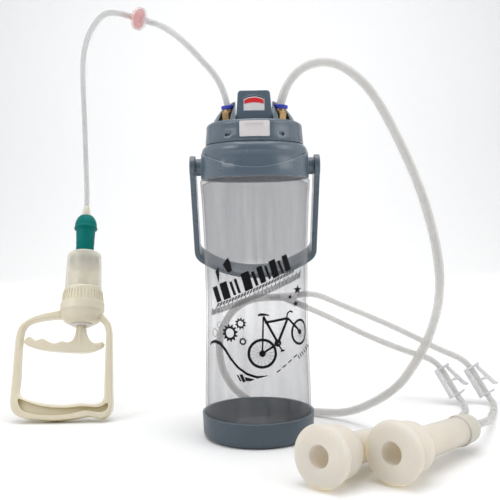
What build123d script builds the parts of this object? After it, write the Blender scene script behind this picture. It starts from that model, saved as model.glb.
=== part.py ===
from build123d import *
import math
import os

# Hand milking machine: a bottle with a lid and carry handle, a hand pump on the
# vacuum side, and two teat cups on the milk side. Millimetres, +Z up, X to the
# right seen from the front of the bottle, Y towards the back. Origin: centre of
# the underside of the bottle's base cap, the face the bottle stands on.

os.makedirs("parts", exist_ok=True)

# Bottle
CAP_R, CAP_H, CAP_FLOOR = 54.3, 23.3, 3.0
SHELL_FOOT_R, SHELL_TOP_R = 51.4, 52.9
WALL, NECK_WALL = 1.9, 2.2
FOOT_TOP_Z, SHELL_TOP_Z, SHOULDER_Z = 34.0, 245.5, 247.8
NECK_R, NECK_TOP_Z = 45.95, 271.0

# Lid collar and its two gaskets
COLLAR_Z0, COLLAR_Z1 = 248.0, 279.8
GASKET_T, TOP_GASKET_T = 2.0, 1.5
LEDGE_Z0, LEDGE_Z1 = NECK_TOP_Z + GASKET_T, 276.0
LIP_ARC_R, LIP_ARC_Z = 86.7, 342.4      # cylinder that cuts the wavy sleeve edge
PIVOT_Z, PIVOT_BOSS_R = 260.2, 8.2

# Lid top
SPIGOT_Z, LID_Z0 = LEDGE_Z1 + TOP_GASKET_T, 280.5
SHELF_Z, RECESS_Z = 301.2, 299.8
HINGE_Y, HINGE_Z, HINGE_PIN_R = 14.0, 319.2, 1.5
SPOUT_Y = -6.0

# Hoses and their connections
FITTING_X, FITTING_Y, FITTING_TILT = 23.5, -20.0, 5.0
VACUUM_R, VACUUM_BORE_R = 3.0, 2.0
MILK_R, MILK_BORE_R = 4.0, 2.6
BRANCH_R, BRANCH_BORE_R = 3.5, 2.2
END_GAP = 0.1                           # between a hose end and the face it meets

# Carry handle and pivot pins
STRAP_T, STRAP_W, STRAP_INNER_X = 5.5, 19.6, 57.0
STRAP_OUTER_X = STRAP_INNER_X + STRAP_T
PIN_R, PIN_START_X, PIN_HEAD_X = 4.0, 50.4, 60.6


# ===========================================================================
# Shared helpers
# ===========================================================================
def save(part, name):
    part.label = name
    export_step(part, "parts/" + name + ".step")


def trace(*stations):
    """Draws a chain in the open BuildLine. A station (a, b) is the end of a line;
    (via_a, via_b, a, b) is an arc through the first pair to the second."""
    start = stations[0]
    for station in stations[1:]:
        end = station[-2:]
        if len(station) == 4:
            ThreePointArc(start, station[:2], end)
        else:
            Line(start, end)
        start = end


def profile_plane(frame):
    """Plane for (radius, height) profiles about the z axis of frame."""
    return Plane(origin=frame.origin, x_dir=frame.x_dir, z_dir=-frame.y_dir)


def along(frame, height):
    """Point on the z axis of frame."""
    return tuple(frame.origin + frame.z_dir * height)


def turned(name, frame, *stations):
    """Saves a piece turned about the z axis of frame from a closed profile."""
    with BuildPart() as piece:
        with BuildSketch(profile_plane(frame)):
            with BuildLine():
                trace(*stations, stations[0])
            make_face()
        revolve(axis=Axis(frame.origin, frame.z_dir))
    save(piece.part, name)


def washer(name, plane, outer_r, inner_r, thickness):
    with BuildPart() as piece:
        with BuildSketch(plane):
            Circle(outer_r)
            Circle(inner_r, mode=Mode.SUBTRACT)
        extrude(amount=thickness)
    save(piece.part, name)


def coil_spring(name, center, direction, start_offset, start_dir, pitch, height, radius, wire_r):
    start = tuple(Vector(*center) + Vector(*start_offset))
    with BuildPart() as spring:
        with BuildLine():
            Helix(pitch=pitch, height=height, radius=radius, center=center, direction=direction)
        with BuildSketch(Plane(origin=start, z_dir=start_dir)):
            Circle(wire_r)
        sweep(is_frenet=True)
    save(spring.part, name)


# ===========================================================================
# Bottle
# ===========================================================================
CAP_INNER_R = SHELL_FOOT_R + 0.1
with BuildPart() as base_cap:
    with BuildSketch(Plane.XZ):
        with BuildLine():
            Polyline((0, 0), (CAP_R - 1.0, 0), (CAP_R, CAP_H), (CAP_INNER_R, CAP_H),
                     (CAP_INNER_R, CAP_FLOOR), (0, CAP_FLOOR), (0, 0))
        make_face()
    revolve(axis=Axis.Z)
    fillet(base_cap.edges().group_by(Axis.Z)[0], 5.5)
    fillet(base_cap.edges().filter_by(GeomType.CIRCLE).sort_by(Axis.Z)[-1], 0.5)
save(base_cap.part, "base_cap")

# Clear shell: foot inside the cap, slim waist, flared shoulder, plain neck.
# Outer radius and height up the wall; the last station is the shoulder's start.
SHELL_STATIONS = [(51.0, 54), (50.4, 73), (49.9, 92), (49.5, 112), (49.5, 150), (49.8, 180),
                  (50.9, 210), (51.9, 230), (SHELL_TOP_R, SHELL_TOP_Z)]
SHELL_UNDER_Z = CAP_FLOOR + 0.05
FOOT_INNER_R, TOP_INNER_R = SHELL_FOOT_R - WALL, SHELL_TOP_R - WALL
NECK_INNER_R = NECK_R - NECK_WALL
inner_stations = [(r - WALL, z) for r, z in reversed(SHELL_STATIONS[:-1])]
with BuildPart() as bottle_shell:
    with BuildSketch(Plane.XZ):
        with BuildLine():
            trace((0, 8.0), (30, 6.0), (38, SHELL_UNDER_Z), (46, SHELL_UNDER_Z),
                  (49.8, 4.6, SHELL_FOOT_R, 8.5), (SHELL_FOOT_R, FOOT_TOP_Z))
            Spline([(SHELL_FOOT_R, FOOT_TOP_Z)] + SHELL_STATIONS, tangents=[(0, 1), (0.04, 1)])
            trace((SHELL_TOP_R, SHELL_TOP_Z), (52.3, 247.1, 50.8, SHOULDER_Z),
                  (NECK_R, SHOULDER_Z), (NECK_R, NECK_TOP_Z), (NECK_INNER_R, NECK_TOP_Z),
                  (NECK_INNER_R, 247), (TOP_INNER_R, 243))
            Spline([(TOP_INNER_R, 243)] + inner_stations + [(FOOT_INNER_R, FOOT_TOP_Z)],
                   tangents=[(-0.04, -1), (0, -1)])
            trace((FOOT_INNER_R, FOOT_TOP_Z), (FOOT_INNER_R, 9.5), (48.3, 6.4, 45, 5.0),
                  (38.5, 5.0), (30.5, 8.0), (0, 10.0), (0, 8.0))
        make_face()
    revolve(axis=Axis.Z)
save(bottle_shell.part, "bottle_shell")

# ===========================================================================
# Lid collar: screws on the neck, carries the handle pivots
# ===========================================================================
COLLAR_BORE_R = NECK_R + 0.1
RIM_BORE_R = 44.65
LEDGE_R = 38.0
SLEEVE_INNER_R, SLEEVE_TOP_Z = 50.2, 275.0
BOSS_START_X, BOSS_L = 48.4, 8.1
lip_arc = Plane(origin=(0, 0, LIP_ARC_Z), x_dir=(1, 0, 0), z_dir=(0, -1, 0))
with BuildPart() as lid_collar:
    # body with the domed shoulder
    with BuildSketch(Plane.XZ):
        with BuildLine():
            trace((COLLAR_BORE_R, COLLAR_Z0), (50.7, COLLAR_Z0), (50.6, 269.5),
                  (49.6, 277.2, 46.8, COLLAR_Z1), (RIM_BORE_R, COLLAR_Z1),
                  (RIM_BORE_R, LEDGE_Z1), (LEDGE_R, LEDGE_Z1), (LEDGE_R, LEDGE_Z0),
                  (COLLAR_BORE_R, LEDGE_Z0), (COLLAR_BORE_R, COLLAR_Z0))
        make_face()
    revolve(axis=Axis.Z)
    # outer sleeve whose upper edge is a wave: low at front and back, high at the pivots
    with BuildPart(mode=Mode.PRIVATE) as sleeve:
        with BuildSketch(Plane.XZ):
            with BuildLine():
                Polyline((SLEEVE_INNER_R, COLLAR_Z0), (51.4, COLLAR_Z0), (52.0, COLLAR_Z0 + 0.8),
                         (51.8, SLEEVE_TOP_Z), (SLEEVE_INNER_R, SLEEVE_TOP_Z),
                         (SLEEVE_INNER_R, COLLAR_Z0))
            make_face()
        revolve(axis=Axis.Z)
        with BuildSketch(lip_arc):
            Circle(LIP_ARC_R)
        extrude(amount=80, both=True, mode=Mode.SUBTRACT)
    add(sleeve.part)
    # pivot bosses, then their pin holes
    for side in (1, -1):
        with BuildSketch(Plane.YZ.offset(side * BOSS_START_X)):
            with Locations((0, PIVOT_Z)):
                Circle(PIVOT_BOSS_R)
        extrude(amount=side * BOSS_L)
    for side in (1, -1):
        with BuildSketch(Plane.YZ.offset(side * PIN_START_X)):
            with Locations((0, PIVOT_Z)):
                Circle(PIN_R)
        extrude(amount=side * 8, mode=Mode.SUBTRACT)
save(lid_collar.part, "lid_collar")

washer("lid_gasket", Plane.XY.offset(NECK_TOP_Z), 45.9, 42.5, GASKET_T)
washer("top_gasket", Plane.XY.offset(LEDGE_Z1), 44.4, 40.5, TOP_GASKET_T)


# ===========================================================================
# Lid top: band with release button, stepped dome, seats for the two fittings
# ===========================================================================
def fit_plane(side, height=0.0):
    """Plane square to a fitting's axis, height above its seat; side -1 vacuum, +1 milk."""
    tilt = math.radians(FITTING_TILT)
    axis = (side * math.sin(tilt), 0, math.cos(tilt))
    return Plane(origin=(side * FITTING_X + axis[0] * height, FITTING_Y,
                         SHELF_Z + axis[2] * height),
                 x_dir=(math.cos(tilt), 0, -side * math.sin(tilt)), z_dir=axis)


SPIGOT_R = 44.5
HOLLOW_R, CEILING_Z = 41.0, 297.2
DOME_TOP_R, DOME_EDGE_Z = 19.0, 322.0
COVER_RECESS_W = 35.4
HINGE_CLEAR_R = 12.6
LUG_TIP_R, LUG_OUTER_X, LUG_GAP = 4.0, 11.4, 15.2
SEAT_R, STEM_R, STEM_L = 8.0, 4.85, 11.0
BUTTON_W, BUTTON_Z0, BUTTON_Z1 = 27.2, 283.6, 297.7
BUTTON_H, BUTTON_MID_Z = BUTTON_Z1 - BUTTON_Z0, (BUTTON_Z0 + BUTTON_Z1) / 2
BUTTON_CORNER_R, BUTTON_CLEAR = 1.2, 0.08
BAND_SLOT_ANGLE, BAND_SLOT_R, BAND_SLOT_Z = 32, 44.4, 286.3
with BuildPart() as lid_top:
    with BuildSketch(Plane.XZ):
        with BuildLine():
            trace((0, SPIGOT_Z), (SPIGOT_R, SPIGOT_Z), (SPIGOT_R, LID_Z0), (46.9, LID_Z0),
                  (47.2, LID_Z0 + 0.6), (46.0, 295.4), (45.0, 299.2, 42.4, 300.6), (39.6, 301.0))
            Spline((39.6, 301.0), (37.6, 305.4), (35.4, 308.8), (29.8, 315.4), (24.6, 319.2),
                   (DOME_TOP_R, DOME_EDGE_Z), tangents=[(-0.3, 1), (-1, 0.35)])
            trace((DOME_TOP_R, DOME_EDGE_Z), (0, 324.0), (0, SPIGOT_Z))
        make_face()
    revolve(axis=Axis.Z)
    # hollow underside
    with BuildSketch(Plane.XY.offset(SPIGOT_Z - 1)):
        Circle(HOLLOW_R)
    extrude(amount=CEILING_Z - SPIGOT_Z + 1, mode=Mode.SUBTRACT)
    # round pockets in the ceiling, towards the back of the dome
    with BuildSketch(Plane.XY.offset(297)):
        with Locations((24, 9), (-24, 9)):
            Circle(7.0)
        with Locations((12, 26), (-12, 26)):
            Circle(5.0)
    extrude(amount=9, mode=Mode.SUBTRACT)
    # recess under the flip cover, and the round clearance about its hinge
    with BuildSketch(Plane.XY.offset(RECESS_Z)):
        with Locations((0, -21)):
            Rectangle(COVER_RECESS_W, 60)
    extrude(amount=30, mode=Mode.SUBTRACT)
    with BuildSketch(Plane.YZ.offset(-COVER_RECESS_W / 2)):
        with Locations((HINGE_Y, HINGE_Z)):
            Circle(HINGE_CLEAR_R)
    extrude(amount=COVER_RECESS_W, mode=Mode.SUBTRACT)
    # two lugs that hold the hinge pin: one block, then the gap between them
    with BuildSketch(Plane.YZ):
        with BuildLine():
            trace((HINGE_Y - LUG_TIP_R, RECESS_Z - 1), (HINGE_Y - LUG_TIP_R, HINGE_Z),
                  (HINGE_Y, HINGE_Z + LUG_TIP_R, HINGE_Y + LUG_TIP_R, HINGE_Z),
                  (HINGE_Y + 5.5, RECESS_Z - 1), (HINGE_Y - LUG_TIP_R, RECESS_Z - 1))
        make_face()
    extrude(amount=LUG_OUTER_X, both=True)
    with BuildSketch(Plane.XY.offset(RECESS_Z + 8)):
        with Locations((0, HINGE_Y)):
            Rectangle(LUG_GAP, 16)
    extrude(amount=30, mode=Mode.SUBTRACT)
    with BuildSketch(Plane.YZ):
        with Locations((HINGE_Y, HINGE_Z)):
            Circle(HINGE_PIN_R)
    extrude(amount=18, both=True, mode=Mode.SUBTRACT)
    # for each fitting: seat open to the rim, stem hole, clearance for the nut
    for side in (-1, 1):
        with BuildSketch(fit_plane(side)):
            Circle(SEAT_R)
            with Locations(Location((0, 0, 0), (0, 0, -58 if side > 0 else 238))):
                with Locations((11, 0)):
                    Rectangle(22, 2 * SEAT_R)
        extrude(amount=26, mode=Mode.SUBTRACT)
        with BuildSketch(fit_plane(side, -12)):
            Circle(STEM_R + 0.1)
        extrude(amount=14, mode=Mode.SUBTRACT)
        with BuildSketch(fit_plane(side, -3)):
            Circle(8.4)
        extrude(amount=-7, mode=Mode.SUBTRACT)
    # spout bore
    with BuildSketch(Plane.XY.offset(296)):
        with Locations((0, SPOUT_Y)):
            Circle(7.0)
    extrude(amount=6, mode=Mode.SUBTRACT)
    # window for the release button
    with BuildSketch(Plane.XZ.offset(30)):
        with Locations((0, BUTTON_MID_Z)):
            RectangleRounded(BUTTON_W + 2 * BUTTON_CLEAR, BUTTON_H + 2 * BUTTON_CLEAR,
                             BUTTON_CORNER_R + BUTTON_CLEAR)
    extrude(amount=30, mode=Mode.SUBTRACT)
    # post that the button's spring pushes against
    with BuildSketch(Plane.XY.offset(286)):
        with Locations((0, -24.2)):
            Rectangle(9, 2)
    extrude(amount=14)
    # small slots in the band, either side of the button
    for angle in (-BAND_SLOT_ANGLE, BAND_SLOT_ANGLE):
        sine, cosine = math.sin(math.radians(angle)), math.cos(math.radians(angle))
        with BuildSketch(Plane(origin=(BAND_SLOT_R * sine, -BAND_SLOT_R * cosine, BAND_SLOT_Z),
                               x_dir=(cosine, sine, 0), z_dir=(sine, -cosine, 0))):
            SlotOverall(6.6, 3.4)
        extrude(amount=6, mode=Mode.SUBTRACT)
save(lid_top.part, "lid_top")

SPOUT_BORE_R, SPOUT_Z0, SPOUT_Z1 = 4.0, 295.2, 316.4
turned("spout", Plane(origin=(0, SPOUT_Y, 0)),
       (SPOUT_BORE_R, SPOUT_Z0), (9.0, SPOUT_Z0), (9.0, 297.1), (6.95, 297.1), (6.95, 299.9),
       (7.6, 299.9), (7.6, 301.4), (6.6, 302.8), (6.1, 315.2), (5.3, SPOUT_Z1),
       (SPOUT_BORE_R, SPOUT_Z1))

# Release button: a piece of ring that fills the window, with a flange behind it
BUTTON_OUTER_R, BUTTON_INNER_R = 47.9, 41.3
GRIP_OUTER_R, GRIP_INNER_R, GRIP_H = 48.4, 47.4, 0.8
with BuildPart() as release_button:
    with BuildSketch(Plane.XY.offset(BUTTON_Z0)):
        Circle(BUTTON_OUTER_R)
        Circle(BUTTON_INNER_R, mode=Mode.SUBTRACT)
        with Locations((0, 50)):
            Rectangle(140, 180, mode=Mode.SUBTRACT)
    extrude(amount=BUTTON_H)
    with BuildPart(mode=Mode.PRIVATE) as face_block:
        with BuildSketch(Plane.XZ.offset(30)):
            with Locations((0, BUTTON_MID_Z)):
                RectangleRounded(BUTTON_W, BUTTON_H, BUTTON_CORNER_R)
        extrude(amount=30)
    add(face_block.part, mode=Mode.INTERSECT)
    # two raised grip lines
    for drop in (2.6, 4.6):
        with BuildSketch(Plane.XY.offset(BUTTON_Z1 - drop)):
            Circle(GRIP_OUTER_R)
            Circle(GRIP_INNER_R, mode=Mode.SUBTRACT)
            with Locations((0, 5)):
                Rectangle(140, 101, mode=Mode.SUBTRACT)
            with Locations((58, 0), (-58, 0)):
                Rectangle(100, 140, mode=Mode.SUBTRACT)
        extrude(amount=GRIP_H)
    # latch tongue
    with BuildSketch(Plane.XY.offset(288.4)):
        with Locations((0, -38.5)):
            Rectangle(9, 8)
    extrude(amount=4)
    # flange behind the window, so the button cannot fall out
    with BuildSketch(Plane.XZ.offset(36.4)):
        with Locations((0, BUTTON_MID_Z)):
            Rectangle(30.6, 12.8)
    extrude(amount=1.4)
save(release_button.part, "release_button")

coil_spring("button_spring", center=(0, -26.0, 291), direction=(0, -1, 0),
            start_offset=(2.4, 0, 0), start_dir=(0, 0, 1),
            pitch=2.0, height=7.8, radius=2.4, wire_r=0.35)

# ---------------------------------------------------------------- flip cover
COVER_Z0, COVER_HALF_W, COVER_TOP_HALF_W = 300.1, 17.0, 14.6
COVER_FRONT_Y, COVER_FOOT_BACK_Y = -31.2, HINGE_Y - 14.5
COVER_KNUCKLE_Y = HINGE_Y + 4.2
HOLLOW_FRONT_Y, HOLLOW_BACK_Y, HOLLOW_HALF_W = -28.4, HINGE_Y + 6, 11.8
TRACK_Y, TRACK_HALF_W, TRACK_Z0, TRACK_Z1 = -29.2, 9.6, 309.2, 320.8
with BuildPart() as flip_cover:
    with BuildSketch(Plane.YZ):
        with BuildLine():
            Polyline((COVER_FRONT_Y, COVER_Z0), (-29.8, 328.0), (HINGE_Y + 2.5, 328.9),
                     (COVER_KNUCKLE_Y, 326.6), (COVER_KNUCKLE_Y, HINGE_Z - 2.5),
                     (HINGE_Y - 4.0, HINGE_Z - 4.2), (COVER_FOOT_BACK_Y, COVER_Z0),
                     (COVER_FRONT_Y, COVER_Z0))
        make_face()
    extrude(amount=COVER_HALF_W, both=True)
    # taper of the sides towards the top
    for side in (-1, 1):
        with BuildSketch(Plane.XZ.offset(60)):
            with BuildLine():
                Polyline((side * COVER_HALF_W, 300.0), (side * COVER_TOP_HALF_W, 330.5),
                         (side * 25, 330.5), (side * 25, 300.0), (side * COVER_HALF_W, 300.0))
            make_face()
        extrude(amount=-100, mode=Mode.SUBTRACT)
    # long top edges, then the top front edges
    fillet([e for e in flip_cover.edges() if e.center().Z > 327.4 and abs(e.center().X) > 13.5
            and e.length > 25], 3.2)
    fillet([e for e in flip_cover.edges() if e.center().Y < -28 and e.center().Z > 324], 1.0)
    # hollow inside
    with BuildSketch(Plane.YZ):
        with BuildLine():
            Polyline((HOLLOW_FRONT_Y, 299), (-27.4, 325.2), (HOLLOW_BACK_Y, 326.1),
                     (HOLLOW_BACK_Y, 298), (HOLLOW_FRONT_Y, 299))
        make_face()
    extrude(amount=HOLLOW_HALF_W, both=True, mode=Mode.SUBTRACT)
    with BuildSketch(Plane.YZ):
        with Locations((HINGE_Y, HINGE_Z)):
            Circle(HINGE_PIN_R + 0.06)
    extrude(amount=18, both=True, mode=Mode.SUBTRACT)
    # shallow track of the sliding lock in the front face
    with BuildSketch(Plane.XZ.offset(-TRACK_Y)):
        with BuildLine():
            trace((-TRACK_HALF_W, TRACK_Z0), (TRACK_HALF_W, TRACK_Z0), (TRACK_HALF_W, TRACK_Z1),
                  (0, 323.6, -TRACK_HALF_W, TRACK_Z1), (-TRACK_HALF_W, TRACK_Z0))
        make_face()
    extrude(amount=5, mode=Mode.SUBTRACT)
save(flip_cover.part, "flip_cover")

SLIDER_BACK_Y, SLIDER_T = TRACK_Y - 0.05, 1.7
SLIDER_HALF_W, SLIDER_Z0, SLIDER_Z1 = TRACK_HALF_W - 0.1, TRACK_Z0 + 0.1, 319.2
BAND_HALF_W, BAND_Z0, BAND_Z1 = 9.0, 315.2, 318.6
with BuildPart() as lock_slider:
    with BuildSketch(Plane.XZ.offset(-SLIDER_BACK_Y)):
        with BuildLine():
            trace((-SLIDER_HALF_W, SLIDER_Z0), (SLIDER_HALF_W, SLIDER_Z0),
                  (SLIDER_HALF_W, SLIDER_Z1), (0, 321.9, -SLIDER_HALF_W, SLIDER_Z1),
                  (-SLIDER_HALF_W, SLIDER_Z0))
        make_face()
    extrude(amount=SLIDER_T)
    # raised arched band across the slider
    with BuildSketch(Plane.XZ.offset(SLIDER_T - SLIDER_BACK_Y)):
        with BuildLine():
            trace((-BAND_HALF_W, BAND_Z0), (0, 316.6, BAND_HALF_W, BAND_Z0),
                  (BAND_HALF_W, BAND_Z1), (0, 321.1, -BAND_HALF_W, BAND_Z1),
                  (-BAND_HALF_W, BAND_Z0))
        make_face()
    extrude(amount=0.4)
save(lock_slider.part, "lock_slider")

with BuildPart() as spout_plug:
    with BuildSketch(Plane.XY.offset(SPOUT_Z1 + 0.05)):
        with Locations((0, SPOUT_Y)):
            Circle(8.2)
    extrude(amount=9.6)
    chamfer(spout_plug.edges().group_by(Axis.Z)[0], 0.8)
    # trim the top to the slope of the cover's ceiling
    with BuildSketch(Plane.YZ):
        with BuildLine():
            Polyline((HOLLOW_FRONT_Y, 325.14), (HOLLOW_BACK_Y, 326.06), (HOLLOW_BACK_Y, 340),
                     (HOLLOW_FRONT_Y, 340), (HOLLOW_FRONT_Y, 325.14))
        make_face()
    extrude(amount=12.3, both=True, mode=Mode.SUBTRACT)
save(spout_plug.part, "spout_plug")

HINGE_PIN_HALF_L = 14.8
with BuildPart() as flip_hinge_pin:
    with BuildSketch(Plane.YZ.offset(-HINGE_PIN_HALF_L)):
        with Locations((HINGE_Y, HINGE_Z)):
            Circle(HINGE_PIN_R)
    extrude(amount=2 * HINGE_PIN_HALF_L)
save(flip_hinge_pin.part, "flip_hinge_pin")

coil_spring("flip_spring", center=(-4.8, HINGE_Y, HINGE_Z), direction=(1, 0, 0),
            start_offset=(0, 0, -2.6), start_dir=(0, 1, 0),
            pitch=1.6, height=9.6, radius=2.6, wire_r=0.5)

# ===========================================================================
# Carry handle hanging behind the bottle, and its two pivot pins
# ===========================================================================
HANG_ANGLE = math.radians(30)
OUTER_CORNER, OUTER_CROWN = 98.0, 123.75    # reach from the pivot to corner and mid-grip
INNER_CORNER, INNER_CROWN = 95.0, 118.25
END_DISC_R = 11.0
PIN_HEAD_R, PIN_HEAD_T = 6.4, 1.5
# local x stays X; local y runs from the pivot down and back to the grip
handle_plane = Plane(origin=(0, 0, PIVOT_Z), x_dir=(1, 0, 0),
                     z_dir=(0, math.cos(HANG_ANGLE), math.sin(HANG_ANGLE)))
with BuildPart() as carry_handle:
    with BuildSketch(handle_plane):
        with BuildLine():
            trace((STRAP_OUTER_X, 0), (STRAP_OUTER_X, OUTER_CORNER),
                  (0, OUTER_CROWN, -STRAP_OUTER_X, OUTER_CORNER), (-STRAP_OUTER_X, 0),
                  (-STRAP_INNER_X, 0), (-STRAP_INNER_X, INNER_CORNER),
                  (0, INNER_CROWN, STRAP_INNER_X, INNER_CORNER), (STRAP_INNER_X, 0),
                  (STRAP_OUTER_X, 0))
        make_face()
    extrude(amount=STRAP_W / 2, both=True)
    # round the corners where the straps meet the grip
    cross_edges = carry_handle.edges().filter_by(Axis((0, 0, 0), handle_plane.z_dir))
    outer_corners = [e for e in cross_edges
                     if abs(abs(e.center().X) - STRAP_OUTER_X) < 0.1 and e.center().Z < 200]
    inner_corners = [e for e in cross_edges
                     if abs(abs(e.center().X) - STRAP_INNER_X) < 0.1 and e.center().Z < 200]
    fillet(outer_corners, 16)
    fillet(inner_corners, 11)
    # end discs with pin holes and recesses for the pin heads
    for side in (-1, 1):
        with BuildSketch(Plane.YZ.offset(side * STRAP_INNER_X)):
            with Locations((0, PIVOT_Z)):
                Circle(END_DISC_R)
        extrude(amount=side * STRAP_T)
        with BuildSketch(Plane.YZ.offset(side * STRAP_INNER_X)):
            with Locations((0, PIVOT_Z)):
                Circle(PIN_R + 0.06)
        extrude(amount=side * 8, mode=Mode.SUBTRACT)
        with BuildSketch(Plane.YZ.offset(side * (PIN_HEAD_X - 0.1))):
            with Locations((0, PIVOT_Z)):
                Circle(PIN_HEAD_R + 0.2)
        extrude(amount=side * 4, mode=Mode.SUBTRACT)
save(carry_handle.part, "carry_handle")

with BuildPart() as handle_pivot_pins:
    for side in (-1, 1):
        with BuildSketch(Plane.YZ.offset(side * PIN_START_X)):
            with Locations((0, PIVOT_Z)):
                Circle(PIN_R)
        extrude(amount=side * (PIN_HEAD_X - PIN_START_X))
        with BuildSketch(Plane.YZ.offset(side * PIN_HEAD_X)):
            with Locations((0, PIVOT_Z)):
                Circle(PIN_HEAD_R)
        extrude(amount=side * PIN_HEAD_T)
save(handle_pivot_pins.part, "handle_pivot_pins")

# ===========================================================================
# Push-in hose fittings
# ===========================================================================
HEX_H, CROWN_H = 8.2, 2.1
HOSE_SEAT_H = 2.2                       # floor of the hose bore above the lid seat
SEAL_H, SEAL_MID_H, SEAL_R = 3.0, 4.0, 0.79
NUT_TOP_H, NUT_T, NUT_APOTHEM = -3.05, 4.0, 6.5


def build_fitting(name, side, hose_r, across_flats):
    with BuildPart() as body:
        with BuildSketch(fit_plane(side, -STEM_L)):
            Circle(STEM_R)
        extrude(amount=STEM_L)
        with BuildSketch(fit_plane(side)):
            RegularPolygon(across_flats / 2, 6, major_radius=False, rotation=30)
        extrude(amount=HEX_H)
        with BuildSketch(fit_plane(side, HEX_H)):
            Circle(across_flats / 2 - 0.25)
        extrude(amount=CROWN_H)
        # hose bore, through bore, groove of the O-ring, pocket of the release collar
        with BuildSketch(fit_plane(side, HOSE_SEAT_H)):
            Circle(hose_r + 0.05)
        extrude(amount=10, mode=Mode.SUBTRACT)
        with BuildSketch(fit_plane(side, -12)):
            Circle(hose_r - 1.2)
        extrude(amount=15, mode=Mode.SUBTRACT)
        with BuildSketch(fit_plane(side, SEAL_H)):
            Circle(hose_r + 1.62)
        extrude(amount=2 * (SEAL_MID_H - SEAL_H), mode=Mode.SUBTRACT)
        with BuildSketch(fit_plane(side, 6.0)):
            Circle(hose_r + 1.3)
        extrude(amount=6.0, mode=Mode.SUBTRACT)
    save(body.part, name + "_fitting_body")

    with BuildPart() as collar:
        with BuildSketch(fit_plane(side, 7.4)):
            Circle(hose_r + 1.24)
        extrude(amount=4.4)
        with BuildSketch(fit_plane(side, 11.6)):
            Ellipse(hose_r + 3.1, hose_r + 2.3)
        extrude(amount=2.8)
        with BuildSketch(fit_plane(side, 7)):
            Circle(hose_r + 0.06)
        extrude(amount=10, mode=Mode.SUBTRACT)
        fillet(collar.edges().filter_by(GeomType.ELLIPSE).sort_by(Axis.Z)[-1], 0.7)
    save(collar.part, name + "_release_collar")

    ring_plane = fit_plane(side, SEAL_MID_H)
    with BuildPart() as ring:
        with BuildSketch(profile_plane(ring_plane)):
            with Locations((hose_r + SEAL_R + 0.02, 0)):
                Circle(SEAL_R)
        revolve(axis=Axis(ring_plane.origin, ring_plane.z_dir))
    save(ring.part, name + "_fitting_oring")

    with BuildPart() as nut:
        with BuildSketch(fit_plane(side, NUT_TOP_H)):
            RegularPolygon(NUT_APOTHEM, 6, major_radius=False)
            Circle(STEM_R + 0.05, mode=Mode.SUBTRACT)
        extrude(amount=-NUT_T)
    save(nut.part, name + "_fitting_nut")


build_fitting("vacuum", side=-1, hose_r=VACUUM_R, across_flats=11.4)
build_fitting("milk", side=1, hose_r=MILK_R, across_flats=12.0)


# ===========================================================================
# Hoses
# ===========================================================================
def hose_path(points, start_straight, end_straight):
    """Turns bend points into straight runs (2 points) joined by tangent arcs (3 points).
    start_straight and end_straight are the straight lengths inside the end connections;
    a fourth number on a point limits how far its bend may reach."""
    corners = [Vector(*p[:3]) for p in points]
    limits = [p[3] if len(p) > 3 else 1e9 for p in points]
    last = len(corners) - 1
    runs = []
    start = corners[0]
    for i in range(1, last):
        back, ahead = corners[i - 1] - corners[i], corners[i + 1] - corners[i]
        room_back = back.length - start_straight if i == 1 else back.length / 2
        room_ahead = ahead.length - end_straight if i == last - 1 else ahead.length / 2
        cut = min(room_back, room_ahead, limits[i]) * 0.98
        back, ahead = back.normalized(), ahead.normalized()
        half_angle = math.acos(max(-1.0, min(1.0, back.dot(ahead)))) / 2
        if math.pi / 2 - half_angle < 0.004:    # nearly straight: no bend needed
            continue
        arc_start, arc_end = corners[i] + back * cut, corners[i] + ahead * cut
        radius = cut * math.tan(half_angle)
        to_arc = radius / math.sin(half_angle) - radius
        arc_mid = corners[i] + (back + ahead).normalized() * to_arc
        runs.append((start, arc_start))
        runs.append((arc_start, arc_mid, arc_end))
        start = arc_end
    runs.append((start, corners[-1]))
    return runs


def hose(name, points, outer_r, bore_r, start_dir, start_straight, end_straight):
    runs = hose_path(points, start_straight, end_straight)
    with BuildPart() as tube:
        with BuildLine() as path:
            for run in runs:
                if len(run) == 3:
                    ThreePointArc(*run)
                elif (run[1] - run[0]).length > 1e-4:
                    Line(*run)
        with BuildSketch(Plane(origin=points[0], z_dir=start_dir)):
            Circle(outer_r)
        sweep(path=path.wires()[0])
        with BuildSketch(Plane(origin=points[0], z_dir=start_dir)):
            Circle(bore_r)
        sweep(path=path.wires()[0], mode=Mode.SUBTRACT)
    save(tube.part, name)


# Inline check valve: two clear halves round a soft disc; z runs from lid to pump
VALVE_RUN = Vector(-22.0, 9.5, 9.0)
VALVE = Plane(origin=(-109.9, 8.0, 405.8), x_dir=(0, VALVE_RUN.Z, -VALVE_RUN.Y),
              z_dir=VALVE_RUN.normalized())
VALVE_R, VALVE_TUBE_R, VALVE_BORE_R = 11.0, 1.9, 1.1
VALVE_TUBE_END, VALVE_SLEEVE_END, VALVE_HOSE_END = 20.5, 9.4, 9.6
DIAPHRAGM_T, DIAPHRAGM_R = 0.8, 9.2
for name, side in (("valve_half_lid", -1), ("valve_half_pump", 1)):
    turned(name, VALVE,
           (VALVE_BORE_R, side * VALVE_TUBE_END), (VALVE_TUBE_R, side * VALVE_TUBE_END),
           (VALVE_TUBE_R, side * VALVE_SLEEVE_END), (3.1, side * VALVE_SLEEVE_END),
           (2.7, side * 3.4), (9.6, side * 3.0), (VALVE_R, side * 1.9), (VALVE_R, 0), (9.3, 0),
           (9.3, side * 0.4), (7.6, side * 0.4), (6.8, side * 1.7), (VALVE_BORE_R, side * 1.9))

with BuildPart() as valve_diaphragm:
    with BuildSketch(VALVE.offset(-DIAPHRAGM_T / 2)):
        Circle(DIAPHRAGM_R)
        with PolarLocations(4.6, 6):
            Circle(0.8, mode=Mode.SUBTRACT)
    extrude(amount=DIAPHRAGM_T)
save(valve_diaphragm.part, "valve_diaphragm")

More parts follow.
